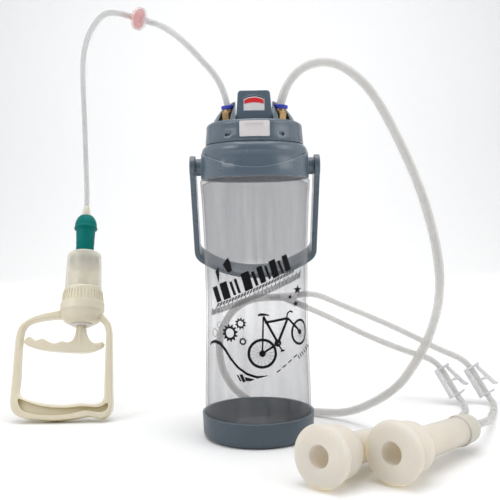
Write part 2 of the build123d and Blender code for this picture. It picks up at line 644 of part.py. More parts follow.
vacuum_seat = fit_plane(-1)
hose("vacuum_hose_lid",
     [along(vacuum_seat, HOSE_SEAT_H + END_GAP), along(vacuum_seat, 22),
      (-33.6, -20.0, 343.0), (-44.5, -19.0, 354.0), (-55.1, -18, 367.2), (-68.0, -14.5, 379.9),
      (-77.5, -7.5, 389.3), along(VALVE, -27.0), along(VALVE, -VALVE_HOSE_END)],
     VACUUM_R, VACUUM_BORE_R, tuple(vacuum_seat.z_dir), start_straight=12.5, end_straight=11.4)

# ===========================================================================
# Pump. Local frame: x to the right, z up along the barrel, y to the back.
# Profiles and outlines are (x or radius, height along the barrel).
# ===========================================================================
PUMP = Plane(origin=(-189.5, 51.1, 2.72), x_dir=Vector(0.99966, 0.0097, 0.0241),
             z_dir=Vector(-0.0260, 0.3745, 0.9269).normalized())
PUMP_AXIS = Axis(PUMP.origin, PUMP.z_dir)
PUMP_PROFILE = profile_plane(PUMP)

# Outer outline of the D-shaped frame; a straight line closes it behind the cup
FRAME_OUTER = [
    (-20.0, 119.6), (-37.0, 116.4), (-49.0, 113.8), (-61.4, 107.8), (-67.6, 101.3), (-69.6, 94.1),
    (-70.6, 64.8), (-71.2, 26.0), (-70.2, 15.4), (-66.0, 8.3), (-57.8, 3.8), (-41.7, 1.2),
    (-25.3, -0.4), (-10.6, 0.0), (2.5, 1.4), (12.3, 2.4), (20.0, 0.9), (25.5, -0.3), (31.3, 2.0),
    (35.4, 7.6), (36.4, 20.1), (35.6, 43.3), (34.6, 77.4), (33.6, 94.9), (31.2, 103.4),
    (25.6, 110.6), (20.0, 115.0)]
# Opening of the frame
FRAME_INNER = [
    (-21.9, 109.8), (-36.5, 109.3), (-50.1, 107.4), (-59.4, 103.4), (-63.0, 95.6), (-63.9, 85.0),
    (-63.9, 64.4), (-63.7, 39.1), (-63.2, 29.0), (-55.4, 23.2), (-43.0, 19.2), (-26.3, 16.1),
    (-9.7, 15.2), (5.1, 16.0), (16.7, 14.8), (25.6, 17.4), (27.8, 30.0), (27.8, 60.7),
    (27.7, 81.3), (27.4, 90.0), (25.6, 98.4), (20.6, 104.6), (10.0, 108.6), (-8.0, 109.6)]
# Channel in the lower grip bar
GRIP_CHANNEL = [
    (-61.4, 23.4), (-53.2, 20.2), (-41.4, 16.0), (-24.7, 12.9), (-8.2, 12.2), (5.0, 12.9),
    (18.2, 11.6), (27.0, 13.0), (32.0, 15.2), (32.6, 11.0), (28.6, 6.6), (19.6, 6.4), (9.8, 8.2),
    (0.2, 6.8), (-12.8, 4.9), (-29.3, 4.7), (-45.8, 6.8), (-54.2, 9.6), (-60.4, 14.6)]
FRAME_HALF_T, CHANNEL_DEPTH = 6.3, 4.2
CUP_FLOOR_H, CUP_BORE_R, CUP_UNDER_H = 117.4, 22.1, 102.7   # cup that takes the barrel
GLAND_R = 8.0
ROD_R, ROD_TOP_H = 5.5, 167.4
with BuildPart() as pump_frame:
    # D-shaped frame with rounded bars
    with BuildSketch(PUMP_PROFILE):
        with BuildLine():
            Spline(*FRAME_OUTER)
            Line(FRAME_OUTER[-1], FRAME_OUTER[0])
        make_face()
        with BuildLine():
            Spline(*FRAME_INNER, periodic=True)
        make_face(mode=Mode.SUBTRACT)
    extrude(amount=FRAME_HALF_T, both=True)
    fillet([e for e in pump_frame.edges() if e.length > 60], 2.0)
    # grip bar channel, front and back
    for side in (-1, 1):
        with BuildSketch(PUMP_PROFILE.offset(side * FRAME_HALF_T)):
            with BuildLine():
                Spline(*GRIP_CHANNEL, periodic=True)
            make_face()
        extrude(amount=-side * CHANNEL_DEPTH, mode=Mode.SUBTRACT)
    # round-bottomed gland cup below the barrel
    with BuildSketch(PUMP_PROFILE):
        with BuildLine():
            trace((GLAND_R, CUP_UNDER_H), (12.6, CUP_UNDER_H), (19.8, 106.4, 22.6, 113.2),
                  (23.0, 115.6), (24.2, 117.2), (24.2, 124.8), (23.5, 125.5),
                  (CUP_BORE_R, 125.5), (CUP_BORE_R, CUP_FLOOR_H), (GLAND_R, CUP_FLOOR_H),
                  (GLAND_R, CUP_UNDER_H))
        make_face()
    revolve(axis=PUMP_AXIS)
    with BuildSketch(PUMP.offset(99)):
        Circle(GLAND_R)
    extrude(amount=40, mode=Mode.SUBTRACT)
    with BuildSketch(PUMP.offset(CUP_FLOOR_H)):
        Circle(CUP_BORE_R)
    extrude(amount=12, mode=Mode.SUBTRACT)
    # four pockets in the cup floor, parted by crossed ribs
    with BuildSketch(PUMP.offset(109.5)):
        Circle(18.0)
        Circle(10.5, mode=Mode.SUBTRACT)
        with Locations((0, 0)):
            Rectangle(60, 3, mode=Mode.SUBTRACT)
            Rectangle(3, 60, mode=Mode.SUBTRACT)
    extrude(amount=8, mode=Mode.SUBTRACT)
save(pump_frame.part, "pump_frame")

BUSH_BORE_R, BUSH_R = ROD_R + 0.06, GLAND_R - 0.05
BUSH_FOOT_H, BUSH_TOP_H = 100.6, CUP_FLOOR_H - 0.1
turned("rod_bush", PUMP,
       (BUSH_BORE_R, BUSH_FOOT_H), (10.4, BUSH_FOOT_H), (11.2, 101.4),
       (11.2, CUP_UNDER_H - 0.1), (BUSH_R, CUP_UNDER_H - 0.1), (BUSH_R, BUSH_TOP_H),
       (BUSH_BORE_R, BUSH_TOP_H))

BARREL_GASKET_T = 1.5
washer("barrel_gasket", PUMP.offset(CUP_FLOOR_H), 22.0, 17.0, BARREL_GASKET_T)

BARREL_BORE_R, BARREL_FLANGE_R = 16.5, 21.9
BARREL_FOOT_H, FLANGE_TOP_H = CUP_FLOOR_H + BARREL_GASKET_T, 121.8
BARREL_CEILING_H, BARREL_TOP_H, BARREL_PORT_R = 182.2, 185.9, 6.0
turned("pump_barrel", PUMP,
       (BARREL_BORE_R, BARREL_FOOT_H), (BARREL_FLANGE_R, BARREL_FOOT_H),
       (BARREL_FLANGE_R, FLANGE_TOP_H), (20.2, FLANGE_TOP_H), (20.1, 143.4), (18.8, 180.6),
       (17.6, 184.4, 13.8, BARREL_TOP_H), (BARREL_PORT_R, BARREL_TOP_H),
       (BARREL_PORT_R, BARREL_CEILING_H), (BARREL_BORE_R, BARREL_CEILING_H))

NUT_BORE_R, NUT_FOOT_H, NUT_STEP_H = 20.3, FLANGE_TOP_H + 0.1, 125.6
with BuildPart() as pump_ring_nut:
    with BuildSketch(PUMP_PROFILE):
        with BuildLine():
            Polyline((NUT_BORE_R, NUT_FOOT_H), (22.0, NUT_FOOT_H), (22.0, NUT_STEP_H),
                     (22.8, NUT_STEP_H), (22.6, 127.0), (20.7, 142.4), (NUT_BORE_R, 143.0),
                     (NUT_BORE_R, NUT_FOOT_H))
        make_face()
    revolve(axis=PUMP_AXIS)
    # grip ribs: a tapered ring with slots cut between the ribs
    with BuildPart(mode=Mode.PRIVATE) as ribs:
        with BuildSketch(PUMP.offset(NUT_STEP_H)):
            Circle(23.4)
            Circle(NUT_BORE_R, mode=Mode.SUBTRACT)
        extrude(amount=17.0, taper=6.5)
        with BuildSketch(PUMP.offset(NUT_STEP_H)):
            Circle(NUT_BORE_R)
        extrude(amount=20, mode=Mode.SUBTRACT)
        with BuildSketch(PUMP.offset(127.2)):
            with PolarLocations(23.2, 40):
                Rectangle(3.6, 1.7)
        extrude(amount=20, mode=Mode.SUBTRACT)
    add(ribs.part)
save(pump_ring_nut.part, "pump_ring_nut")

# Pull bar: a shallow crescent with finger waves, flared up into the rod.
# Three runs joined at sharp corners: upper left, underside, upper right.
BAR_LEFT = [
    (-5.3, 97.5), (-5.9, 91.0), (-7.6, 86.0), (-11.2, 83.0), (-15.5, 82.8), (-19.0, 83.8),
    (-23.0, 83.2), (-26.5, 82.0), (-31.7, 83.0), (-36.9, 85.6), (-41.4, 87.8), (-45.5, 86.6),
    (-49.4, 86.4), (-52.7, 89.2), (-56.4, 90.4), (-59.9, 87.6), (-61.3, 84.8)]
BAR_UNDER = [
    (-61.3, 84.8), (-60.2, 83.0), (-54.9, 80.0), (-44.8, 76.6), (-29.4, 73.7), (-8.9, 71.6),
    (9.7, 71.2), (19.4, 74.2), (24.2, 77.4), (25.0, 79.6)]
BAR_RIGHT = [
    (25.0, 79.6), (24.0, 81.2), (20.0, 80.4), (15.6, 80.4), (11.4, 83.0), (7.8, 87.4),
    (6.0, 92.0), (5.3, 97.5)]
BAR_HALF_T = 5.2
ROD_FOOT_H = 80.0
ROD_TIP_R, ROD_TIP_L = 3.5, 9.0
with BuildPart() as pull_handle:
    with BuildSketch(PUMP_PROFILE):
        with BuildLine():
            Spline(*BAR_LEFT)
            Spline(*BAR_UNDER)
            Spline(*BAR_RIGHT)
            Line(BAR_RIGHT[-1], BAR_LEFT[0])
        make_face()
    extrude(amount=BAR_HALF_T, both=True)
    fillet([e for e in pull_handle.edges() if e.length > 14], 1.2)
    with BuildSketch(PUMP.offset(ROD_FOOT_H)):
        Circle(ROD_R)
    extrude(amount=ROD_TOP_H - ROD_FOOT_H)
    with BuildSketch(PUMP.offset(ROD_TOP_H)):
        Circle(ROD_TIP_R)
    extrude(amount=ROD_TIP_L)
save(pull_handle.part, "pull_handle")

PISTON_R, PISTON_BORE_R, PISTON_GROOVE_R = BARREL_BORE_R - 0.08, ROD_TIP_R + 0.05, 14.2
PISTON_FOOT_H, PISTON_TOP_H = 168.6, 180.0
GROOVE_H0, GROOVE_H1 = 172.4, 175.8
with BuildPart() as piston:
    with BuildSketch(PUMP_PROFILE):
        with BuildLine():
            Polyline((PISTON_BORE_R, PISTON_FOOT_H), (15.2, PISTON_FOOT_H), (PISTON_R, 169.6),
                     (PISTON_R, GROOVE_H0), (PISTON_GROOVE_R, GROOVE_H0),
                     (PISTON_GROOVE_R, GROOVE_H1), (PISTON_R, GROOVE_H1), (PISTON_R, 179.0),
                     (15.6, PISTON_TOP_H), (PISTON_BORE_R, PISTON_TOP_H),
                     (PISTON_BORE_R, PISTON_FOOT_H))
        make_face()
    revolve(axis=PUMP_AXIS)
    # air holes
    with BuildSketch(PUMP.offset(168)):
        with PolarLocations(9.0, 6):
            Circle(1.2)
    extrude(amount=14, mode=Mode.SUBTRACT)
save(piston.part, "piston")

with BuildPart() as piston_seal:
    with BuildSketch(PUMP_PROFILE):
        with Locations((15.34, (GROOVE_H0 + GROOVE_H1) / 2)):
            Circle(1.12)
    revolve(axis=PUMP_AXIS)
save(piston_seal.part, "piston_seal")

washer("piston_valve", PUMP.offset(ROD_TOP_H + 0.05), 12.0, 3.6, 1.1)

NOZZLE_BORE_R, NOZZLE_SPIGOT_R, NOZZLE_R = 2.0, BARREL_PORT_R - 0.1, 10.0
NOZZLE_FOOT_H, NOZZLE_SEAT_H = BARREL_CEILING_H + 0.1, BARREL_TOP_H + 0.1
NOZZLE_TOP_H = 231.0
turned("nozzle", PUMP,
       (NOZZLE_BORE_R, NOZZLE_FOOT_H), (NOZZLE_SPIGOT_R, NOZZLE_FOOT_H),
       (NOZZLE_SPIGOT_R, NOZZLE_SEAT_H), (NOZZLE_R, NOZZLE_SEAT_H), (NOZZLE_R, 197.6),
       (10.4, 198.0), (10.4, 199.0), (10.1, 199.4), (10.9, 213.6), (13.1, 215.4),
       (13.1, 217.0), (12.3, 217.8), (11.2, 225.6, 7.8, NOZZLE_TOP_H),
       (NOZZLE_SPIGOT_R, NOZZLE_TOP_H), (NOZZLE_SPIGOT_R, 224.0), (NOZZLE_BORE_R, 222.0))

ADAPTER_HOSE_R, ADAPTER_PLUG_R = VACUUM_R + 0.03, NOZZLE_SPIGOT_R - 0.05
ADAPTER_SEAT_H, ADAPTER_FOOT_H, ADAPTER_TOP_H = 226.0, 224.2, 243.0
ADAPTER_RIM_H = NOZZLE_TOP_H + 0.05
turned("hose_adapter", PUMP,
       (ADAPTER_HOSE_R, ADAPTER_SEAT_H), (ADAPTER_HOSE_R, ADAPTER_TOP_H), (3.7, ADAPTER_TOP_H),
       (4.6, 238.6), (5.2, 233.0), (6.6, 232.4), (6.6, ADAPTER_RIM_H),
       (ADAPTER_PLUG_R, ADAPTER_RIM_H), (ADAPTER_PLUG_R, ADAPTER_FOOT_H),
       (1.6, ADAPTER_FOOT_H), (1.6, ADAPTER_SEAT_H))

hose("vacuum_hose_pump",
     [along(VALVE, VALVE_HOSE_END), along(VALVE, 27.0), (-147.7, 33, 420.5),
      (-161.0, 53, 417.6), (-173.7, 74, 411.0), (-184.0, 96, 400.0), (-190.6, 115, 386.6),
      (-194.2, 130, 370.8), (-196.4, 142, 352.4), (-198.4, 154, 316.0), (-198.8, 156, 282.0),
      along(PUMP, 260), along(PUMP, ADAPTER_SEAT_H + END_GAP)],
     VACUUM_R, VACUUM_BORE_R, tuple(VALVE.z_dir), start_straight=11.4, end_straight=18.0)

# ===========================================================================
# Y-connector and main milk hose
# ===========================================================================
Y_CENTRE = Vector(30.0, 96.0, 124.0)
Y_IN_DIR = Vector(1, 0.10, 0.0).normalized()
Y_RIGHT_DIR = Vector(1, 0.10, 0.12).normalized()
Y_LEFT_DIR = Vector(1, 0.10, -0.46).normalized()
Y_HUB_BACK, Y_LEG_L = 4.0, 15.0


def rod(origin, direction, radius, length):
    with BuildPart() as piece:
        with BuildSketch(Plane(origin=origin, z_dir=direction)):
            Circle(radius)
        extrude(amount=length)
    return piece.part


y_solids = [rod(Y_CENTRE - Y_IN_DIR * 16, Y_IN_DIR, 2.5, 16.5),
            rod(Y_CENTRE - Y_IN_DIR * Y_HUB_BACK, Y_IN_DIR, 4.6, 9.0)]
y_bores = [rod(Y_CENTRE - Y_IN_DIR * 17, Y_IN_DIR, 1.6, 17.5)]
# legs, then the thinner stems that enter the branch hoses
for radius, length in ((3.9, Y_LEG_L), (2.1, 26.0)):
    for direction in (Y_RIGHT_DIR, Y_LEFT_DIR):
        y_solids.append(rod(Y_CENTRE, direction, radius, length))
for direction in (Y_RIGHT_DIR, Y_LEFT_DIR):
    y_bores.append(rod(Y_CENTRE, direction, 1.3, 28.0))
with BuildPart() as y_connector:
    for piece in y_solids:
        add(piece)
    for piece in y_bores:
        add(piece, mode=Mode.SUBTRACT)
save(y_connector.part, "y_connector")

milk_seat = fit_plane(1)
hose("milk_hose_main",
     [along(milk_seat, HOSE_SEAT_H + END_GAP), along(milk_seat, 21), (32.2, -20.6, 337.0),
      (38.0, -21.5, 344.6), (46.5, -22.5, 351.0), (58.0, -25, 354.6), (71.0, -29, 353.8),
      (83.6, -35, 347.2), (104.6, -46, 325.4), (122.5, -57, 287.5), (136.2, -66, 253.0),
      (145.9, -74, 222.0), (154.0, -82, 182.5), (156.4, -85.5, 150.0), (152.8, -84, 123.1),
      (145.0, -74, 95.0), (131.8, -40, 56.0), (120.3, -12, 37.0), (106.1, 20, 19.0),
      (88.9, 44, 6.4), (62.0, 61, 4.1), (34.0, 72, 4.1), (2.0, 79.0, 6.0), (-28.0, 83.0, 24.0),
      (-43.0, 85.5, 58.0), (-39.0, 88.5, 96.0), tuple(Y_CENTRE - Y_IN_DIR * 44.0),
      tuple(Y_CENTRE - Y_IN_DIR * (Y_HUB_BACK + END_GAP))],
     MILK_R, MILK_BORE_R, tuple(milk_seat.z_dir), start_straight=12.0, end_straight=13.0)

# ===========================================================================
# Pinch clamps. Local frame: x along the hose, y towards the lever, z across.
# ===========================================================================
CLAMP_AXIS = Vector(0.42, -0.36, -0.83).normalized()
LEVER_SIDE = Vector(1, 0, 0.2)          # the lever faces this way as nearly as it can
CLAMP_R_CENTRE = Vector(250.6, 109.0, 24.5)
CLAMP_L_CENTRE = Vector(216.6, 108.0, 24.5)
CLAMP_HALF_W = 6.5
CLAMP_HINGE, CLAMP_HINGE_R = (-16.4, 7.0), 1.9
# (x, y) outline of the bent strip with its catch and pinching ridge
CLAMP_BODY = [
    (-17.5, -7.6), (17.5, -7.6), (17.5, 7.2), (15.9, 9.4), (14.9, 9.4), (14.9, 8.0), (15.3, 7.4),
    (15.3, -5.6), (1.6, -5.6), (0.9, -3.7), (-0.9, -3.7), (-1.6, -5.6), (-15.3, -5.6),
    (-15.3, 5.0), (-17.5, 5.0), (-17.5, -7.6)]
# (x, y) outline of the lever with its pinching nose
CLAMP_LEVER = [
    (-13.6, 6.1), (-13.6, 7.9), (8.5, 14.9), (11.2, 17.4), (12.4, 16.6), (10.0, 13.2),
    (2.6, 10.7), (1.0, 5.2), (-0.8, 5.2), (-1.4, 9.6), (-13.6, 6.1)]


def build_clamp(name, centre):
    lever_dir = (LEVER_SIDE - CLAMP_AXIS * LEVER_SIDE.dot(CLAMP_AXIS)).normalized()
    frame = Plane(origin=centre, x_dir=CLAMP_AXIS, z_dir=CLAMP_AXIS.cross(lever_dir))
    with BuildPart() as body:
        with BuildSketch(frame):
            with BuildLine():
                Polyline(*CLAMP_BODY)
            make_face()
        extrude(amount=CLAMP_HALF_W, both=True)
        # hose hole through both ends
        with BuildSketch(Plane(origin=frame.origin - frame.x_dir * 20, x_dir=frame.z_dir,
                               z_dir=frame.x_dir)):
            Circle(BRANCH_R + 0.1)
        extrude(amount=40, mode=Mode.SUBTRACT)
        # hinge barrel in two halves
        for offset in (-CLAMP_HALF_W, 2.5):
            with BuildSketch(frame.offset(offset)):
                with Locations(CLAMP_HINGE):
                    Circle(CLAMP_HINGE_R)
                with Locations((-16.4, 5.5)):
                    Rectangle(2.2, 3.0)
            extrude(amount=4.0)
    save(body.part, name + "_body")

    with BuildPart() as lever:
        with BuildSketch(frame.offset(-5.4)):
            with BuildLine():
                Polyline(*CLAMP_LEVER)
            make_face()
        extrude(amount=10.8)
        # hinge knuckle between the two halves of the body's barrel
        with BuildSketch(frame.offset(-2.4)):
            with Locations(CLAMP_HINGE):
                Circle(CLAMP_HINGE_R)
            with Locations((-14.4, 7.0)):
                Rectangle(4.0, 1.8)
        extrude(amount=4.8)
    save(lever.part, name + "_lever")


build_clamp("clamp_right", CLAMP_R_CENTRE)
build_clamp("clamp_left", CLAMP_L_CENTRE)


# ===========================================================================
# Teat cups lying on the floor, on the edge of the mouthpiece and the end cap
# ===========================================================================
def cup_plane(mouth, azimuth, tilt):
    """Frame at the mouth's centre, z along the cup to its end cap. Azimuth is from
    +Y towards +X, tilt is downwards, both in degrees."""
    turn, dip = math.radians(azimuth), math.radians(tilt)
    return Plane(origin=mouth, x_dir=(math.cos(turn), -math.sin(turn), 0),
                 z_dir=(math.sin(turn) * math.cos(dip), math.cos(turn) * math.cos(dip),
                        -math.sin(dip)))


CUP_HOSE_SEAT = 127.0
CUP_HOSE_R = BRANCH_R + 0.03


def build_cup(name, frame):
    turned(name + "_liner", frame,
           (9.0, 1.6), (10.2, 0.4), (20.0, 0.0), (25.3, 5.8, 20.6, 12.0), (18.4, 13.4),
           (18.4, 15.6), (21.6, 24.0, 19.2, 34.0), (15.2, 38.2), (13.6, 38.2), (13.6, 26.0),
           (11.9, 26.0), (11.0, 48.0), (9.8, 116.0), (8.4, 116.0), (9.4, 48.0), (10.2, 26.0),
           (10.8, 10.0), (9.0, 8.0))
    turned(name + "_shell", frame,
           (11.95, 26.1), (13.5, 26.1), (13.5, 38.2), (12.5, 121.0), (11.3, 121.0))
    turned(name + "_end_cap", frame,
           (12.68, 107.0), (13.3, 107.0), (13.9, 107.8), (13.9, 111.0), (13.4, 111.8),
           (13.4, 113.0), (12.2, 127.0), (9.6, 131.0), (6.6, 132.2), (5.3, 133.6), (4.9, 141.0),
           (CUP_HOSE_R, 141.0), (CUP_HOSE_R, CUP_HOSE_SEAT), (2.3, CUP_HOSE_SEAT),
           (2.3, 124.6), (10.6, 124.6), (10.6, 121.1), (12.56, 121.1))


CUP_L = cup_plane((43.0, -153.5, 25.95), azimuth=42.0, tilt=6.0)
CUP_R = cup_plane((99.3, -148.5, 25.75), azimuth=44.0, tilt=3.1)
build_cup("cup_left", CUP_L)
build_cup("cup_right", CUP_R)


# ===========================================================================
# Branch hoses: from the Y-connector down through a clamp, round to a cup
# ===========================================================================
def branch_hose(name, direction, descent, clamp_centre, floor_run, cup, cup_approach):
    start = Y_CENTRE + direction * (Y_LEG_L + END_GAP)
    through_clamp = [tuple(clamp_centre - CLAMP_AXIS * 26.5) + (8.2,),
                     tuple(clamp_centre + CLAMP_AXIS * 24.0) + (6.0,)]
    hose(name,
         [tuple(start), tuple(start + direction * 20)] + descent + through_clamp + floor_run
         + [along(cup, cup_approach), along(cup, CUP_HOSE_SEAT + END_GAP)],
         BRANCH_R, BRANCH_BORE_R, tuple(direction), start_straight=11.4, end_straight=15.0)


branch_hose("milk_hose_branch_right", Y_RIGHT_DIR,
            [(92.0, 108, 114.6), (114.5, 111, 105.2), (144.8, 114, 91.5), (167.6, 115.5, 80.6),
             (187.1, 116, 70.6), (205.0, 117, 60.8), (221.0, 118.5, 53.5)],
            CLAMP_R_CENTRE,
            [(260.0, 86.0, 4.0), (251.1, 60.0, 4.0), (238.2, 31.0, 4.6), (226.0, 0.6, 9.5)],
            CUP_R, cup_approach=157)
branch_hose("milk_hose_branch_left", Y_LEFT_DIR,
            [(84.6, 109, 98.0), (114.3, 112.5, 82.5), (144.6, 114, 68.6), (169.0, 115, 58.6),
             (187.0, 116.5, 52.6)],
            CLAMP_L_CENTRE,
            [(226.5, 84.0, 4.0), (220.0, 54.0, 4.0), (202.0, 22.0, 4.0), (176.0, -8.0, 5.6)],
            CUP_L, cup_approach=160)
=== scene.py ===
"""Hand-pumped milking set, in the product's CAD frame (metres, +Z up, the camera looks along +Y).

The bottle stands on the Z axis with its front towards -Y. The hand pump leans behind it on the
left (-X), with a valve in its hose. The two teat cups lie in front, right of the middle, fed by a
Y connector behind the bottle. Lengths below are millimetres unless noted; MM turns them to metres.
"""
import math
import random

import bmesh
import bpy
import numpy as np
from mathutils import Matrix, Vector


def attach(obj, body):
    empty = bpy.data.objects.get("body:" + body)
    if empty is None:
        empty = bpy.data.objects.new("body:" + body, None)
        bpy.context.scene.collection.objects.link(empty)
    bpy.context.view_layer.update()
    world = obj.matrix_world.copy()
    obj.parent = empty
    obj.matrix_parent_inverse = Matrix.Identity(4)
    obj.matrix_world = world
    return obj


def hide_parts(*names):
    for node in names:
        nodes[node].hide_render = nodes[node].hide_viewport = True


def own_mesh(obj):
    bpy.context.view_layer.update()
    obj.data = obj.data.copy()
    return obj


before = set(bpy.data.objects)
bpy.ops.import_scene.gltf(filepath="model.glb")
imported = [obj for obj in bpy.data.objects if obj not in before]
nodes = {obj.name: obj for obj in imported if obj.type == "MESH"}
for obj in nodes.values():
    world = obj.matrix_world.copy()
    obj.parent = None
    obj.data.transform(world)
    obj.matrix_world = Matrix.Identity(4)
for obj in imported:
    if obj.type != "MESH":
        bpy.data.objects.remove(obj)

random.seed(7)
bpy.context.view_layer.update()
MM = 0.001
scene = bpy.context.scene
norm = np.linalg.norm


# ---------------------------------------------------------------------------
# shader node helpers
# ---------------------------------------------------------------------------
def node(tree, kind, sockets={}, out=0, **settings):
    """Add a node and return one output; sockets gives each input a value or the output feeding it."""
    made = tree.nodes.new("ShaderNode" + kind)
    for key, value in settings.items():
        setattr(made, key, value)
    for key, value in sockets.items():
        if isinstance(value, bpy.types.NodeSocket):
            tree.links.new(value, made.inputs[key])
        else:
            made.inputs[key].default_value = value
    return made.outputs[out]


def new_material(name):
    mat = bpy.data.materials.new(name)
    mat.use_nodes = True
    mat.node_tree.nodes.clear()
    return mat, mat.node_tree


def set_surface(tree, shader):
    output = tree.nodes.new("ShaderNodeOutputMaterial")
    tree.links.new(shader, output.inputs["Surface"])


def coords(tree):
    return node(tree, "TexCoord", out="Object")


def noise(tree, place, scale, detail=4.0, rough=0.6):
    return node(tree, "TexNoise", {"Scale": scale, "Detail": detail, "Roughness": rough,
                                   "Vector": place}, out="Fac")


def remap(tree, value, to=(0, 1), span=(0.3, 0.7), **settings):
    """Map the range span onto the range to."""
    return node(tree, "MapRange", {"From Min": span[0], "From Max": span[1], "To Min": to[0],
                                   "To Max": to[1], "Value": value}, out="Result", **settings)


def mix_colour(tree, factor, first, second):
    """Blend two colours, each an RGB tuple or an output."""
    first, second = ((*c, 1.0) if isinstance(c, tuple) else c for c in (first, second))
    return node(tree, "Mix", {"Factor": factor, "A": first, "B": second}, out="Result",
                data_type="RGBA")


def mix_shader(tree, factor, first, second):
    return node(tree, "MixShader", {"Fac": factor, 1: first, 2: second})


def arith(tree, operation, *values):
    return node(tree, "Math", dict(enumerate(values)), operation=operation)


def grain_normal(tree, place, strength, scale):
    return node(tree, "Bump", {"Strength": strength, "Distance": 0.0004,
                               "Height": noise(tree, place, scale, detail=3.0)})


# ---------------------------------------------------------------------------
# materials
# ---------------------------------------------------------------------------
def plastic(name, base, rough, drift, bump, grain=900.0, sss=0.0, sss_scale=0.006, coat=0.0,
            spec=0.5, metallic=0.0, translucent=0.0, stretch=None, alt=None, wear=None,
            edge_highlight=None, edge_highlight_mm=0.6, hollow_painted_shading=None, bore_painted_light=None):
    """Opaque material with cloudy colour and roughness drift and a fine grain.

    Optional colours: alt in broad patches, wear in small flecks, a painted highlight on edges
    within a width given in mm, painted shade or painted light in hollows, and painted light given
    off in bores, an emission that stands in for light a translucent wall carries in.
    """
    mat, tree = new_material(name)
    place = grain_place = coords(tree)
    if stretch is not None:
        grain_place = node(tree, "Mapping", {"Scale": stretch, "Vector": place})
    cloud = noise(tree, place, scale=22.0, detail=5.0)
    dark = tuple(max(0.0, c * (1 - drift)) for c in base)
    light = tuple(min(1.0, c * (1 + drift)) for c in base)
    colour = mix_colour(tree, remap(tree, cloud), dark, light)
    if alt is not None:
        patches = noise(tree, place, scale=60.0, detail=3.0)
        colour = mix_colour(tree, remap(tree, patches, to=(0, 0.45), span=(0.45, 0.8)),
                            colour, alt)
    if wear is not None:
        flecks = noise(tree, place, scale=180.0, detail=8.0, rough=0.75)
        colour = mix_colour(tree, remap(tree, flecks, to=(0, 0.5), span=(0.62, 0.8)),
                            colour, wear)
    # painted highlight: edges are mixed towards a lighter colour where a bevelled normal parts from
    # the true one
    if edge_highlight is not None:
        rounded = node(tree, "Bevel", {"Radius": edge_highlight_mm * MM}, samples=5)
        true_normal = node(tree, "NewGeometry", out="Normal")
        flatness = node(tree, "VectorMath", {0: rounded, 1: true_normal}, out="Value",
                        operation="DOT_PRODUCT")
        colour = mix_colour(tree, remap(tree, flatness, to=(0.85, 0.0), span=(0.86, 0.985)),
                            colour, edge_highlight)
    # painted shade or painted light in hollows: colour mixed in where ambient occlusion finds the
    # surface hemmed in
    if hollow_painted_shading is not None:
        openness = node(tree, "AmbientOcclusion", {"Distance": 0.008}, out="AO", samples=6)
        colour = mix_colour(tree, remap(tree, openness, to=(1.0, 0.0), span=(0.30, 0.80)),
                            colour, hollow_painted_shading)
    gloss_drift = remap(tree, noise(tree, place, scale=70.0, detail=5.0),
                        to=(max(0.02, rough - 0.08), min(1, rough + 0.1)))
    sockets = {"Base Color": colour, "Roughness": gloss_drift, "Metallic": metallic,
               "Specular IOR Level": spec}
    if coat:
        sockets.update({"Coat Weight": coat, "Coat Roughness": 0.12})
    if sss:
        sockets.update({"Subsurface Weight": sss, "Subsurface Radius": (1.0, 0.75, 0.5),
                        "Subsurface Scale": sss_scale})
    # painted light: emission given off in bores, found by ambient occlusion, standing in for light a
    # translucent wall lets in
    if bore_painted_light is not None:
        bore = node(tree, "AmbientOcclusion", {"Distance": 0.02}, out="AO", samples=8)
        sockets["Emission Color"] = (*bore_painted_light, 1)
        sockets["Emission Strength"] = remap(tree, bore, to=(0.34, 0.0), span=(0.0, 0.36))
    sockets["Normal"] = grain_normal(tree, grain_place, bump, grain)
    shader = node(tree, "BsdfPrincipled", sockets)
    if translucent:
        through = node(tree, "BsdfTranslucent", {"Color": colour})
        shader = mix_shader(tree, translucent, shader, through)
    set_surface(tree, shader)
    return mat


def sheer(name, tint, passes, body, rough, gloss, bump, grain=250.0, streak=0.0, z_fade=None,
          translucent=0.5, edge_pow=2.0):
    """See-through plastic or silicone, seen as a thin wall.

    passes is the share of light let through (face on, at grazing angles); the rest is scattered
    with the colour body. streak dims it in upright streaks, and z_fade = (heights in metres,
    factors) scales it with height.
    """
    mat, tree = new_material(name)
    place = coords(tree)
    facing = node(tree, "LayerWeight", {"Blend": 0.45}, out="Facing")
    edge = arith(tree, "POWER", facing, edge_pow)
    passed = remap(tree, edge, to=passes, span=(0, 1))
    if z_fade is not None:
        heights, factors = z_fade
        height = node(tree, "SeparateXYZ", {"Vector": place}, out="Z")
        fade = remap(tree, height, to=factors, span=heights, interpolation_type="SMOOTHSTEP")
        passed = arith(tree, "MULTIPLY", passed, fade)
    if streak:
        drawn_out = node(tree, "Mapping", {"Scale": (1, 1, 0.06), "Vector": place})
        streaks = remap(tree, noise(tree, drawn_out, scale=90.0), to=(1.0 - streak, 1.0))
        passed = arith(tree, "MULTIPLY", passed, streaks)
    normal = grain_normal(tree, place, bump, grain)
    colour = mix_colour(tree, remap(tree, noise(tree, place, scale=30.0)),
                        tuple(c * 0.95 for c in body), body)
    scatter = node(tree, "BsdfDiffuse", {"Color": colour, "Normal": normal})
    through = node(tree, "BsdfTranslucent", {"Color": colour})
    wall = mix_shader(tree, translucent, scatter, through)
    window = node(tree, "BsdfTransparent", {"Color": (*tint, 1)})
    wall = mix_shader(tree, passed, wall, window)
    shine_rough = remap(tree, noise(tree, place, scale=60.0),
                        to=(max(0.02, rough - 0.05), rough + 0.08))
    shine = node(tree, "BsdfGlossy", {"Roughness": shine_rough, "Normal": normal})
    # reflection grows from gloss * 0.045 face on towards the edge
    facing = node(tree, "LayerWeight", {"Blend": 0.5}, out="Facing")
    edge = arith(tree, "POWER", facing, 5.0)
    reflected = arith(tree, "MULTIPLY_ADD", edge, gloss * 0.9, gloss * 0.045)
    set_surface(tree, mix_shader(tree, reflected, wall, shine))
    return mat


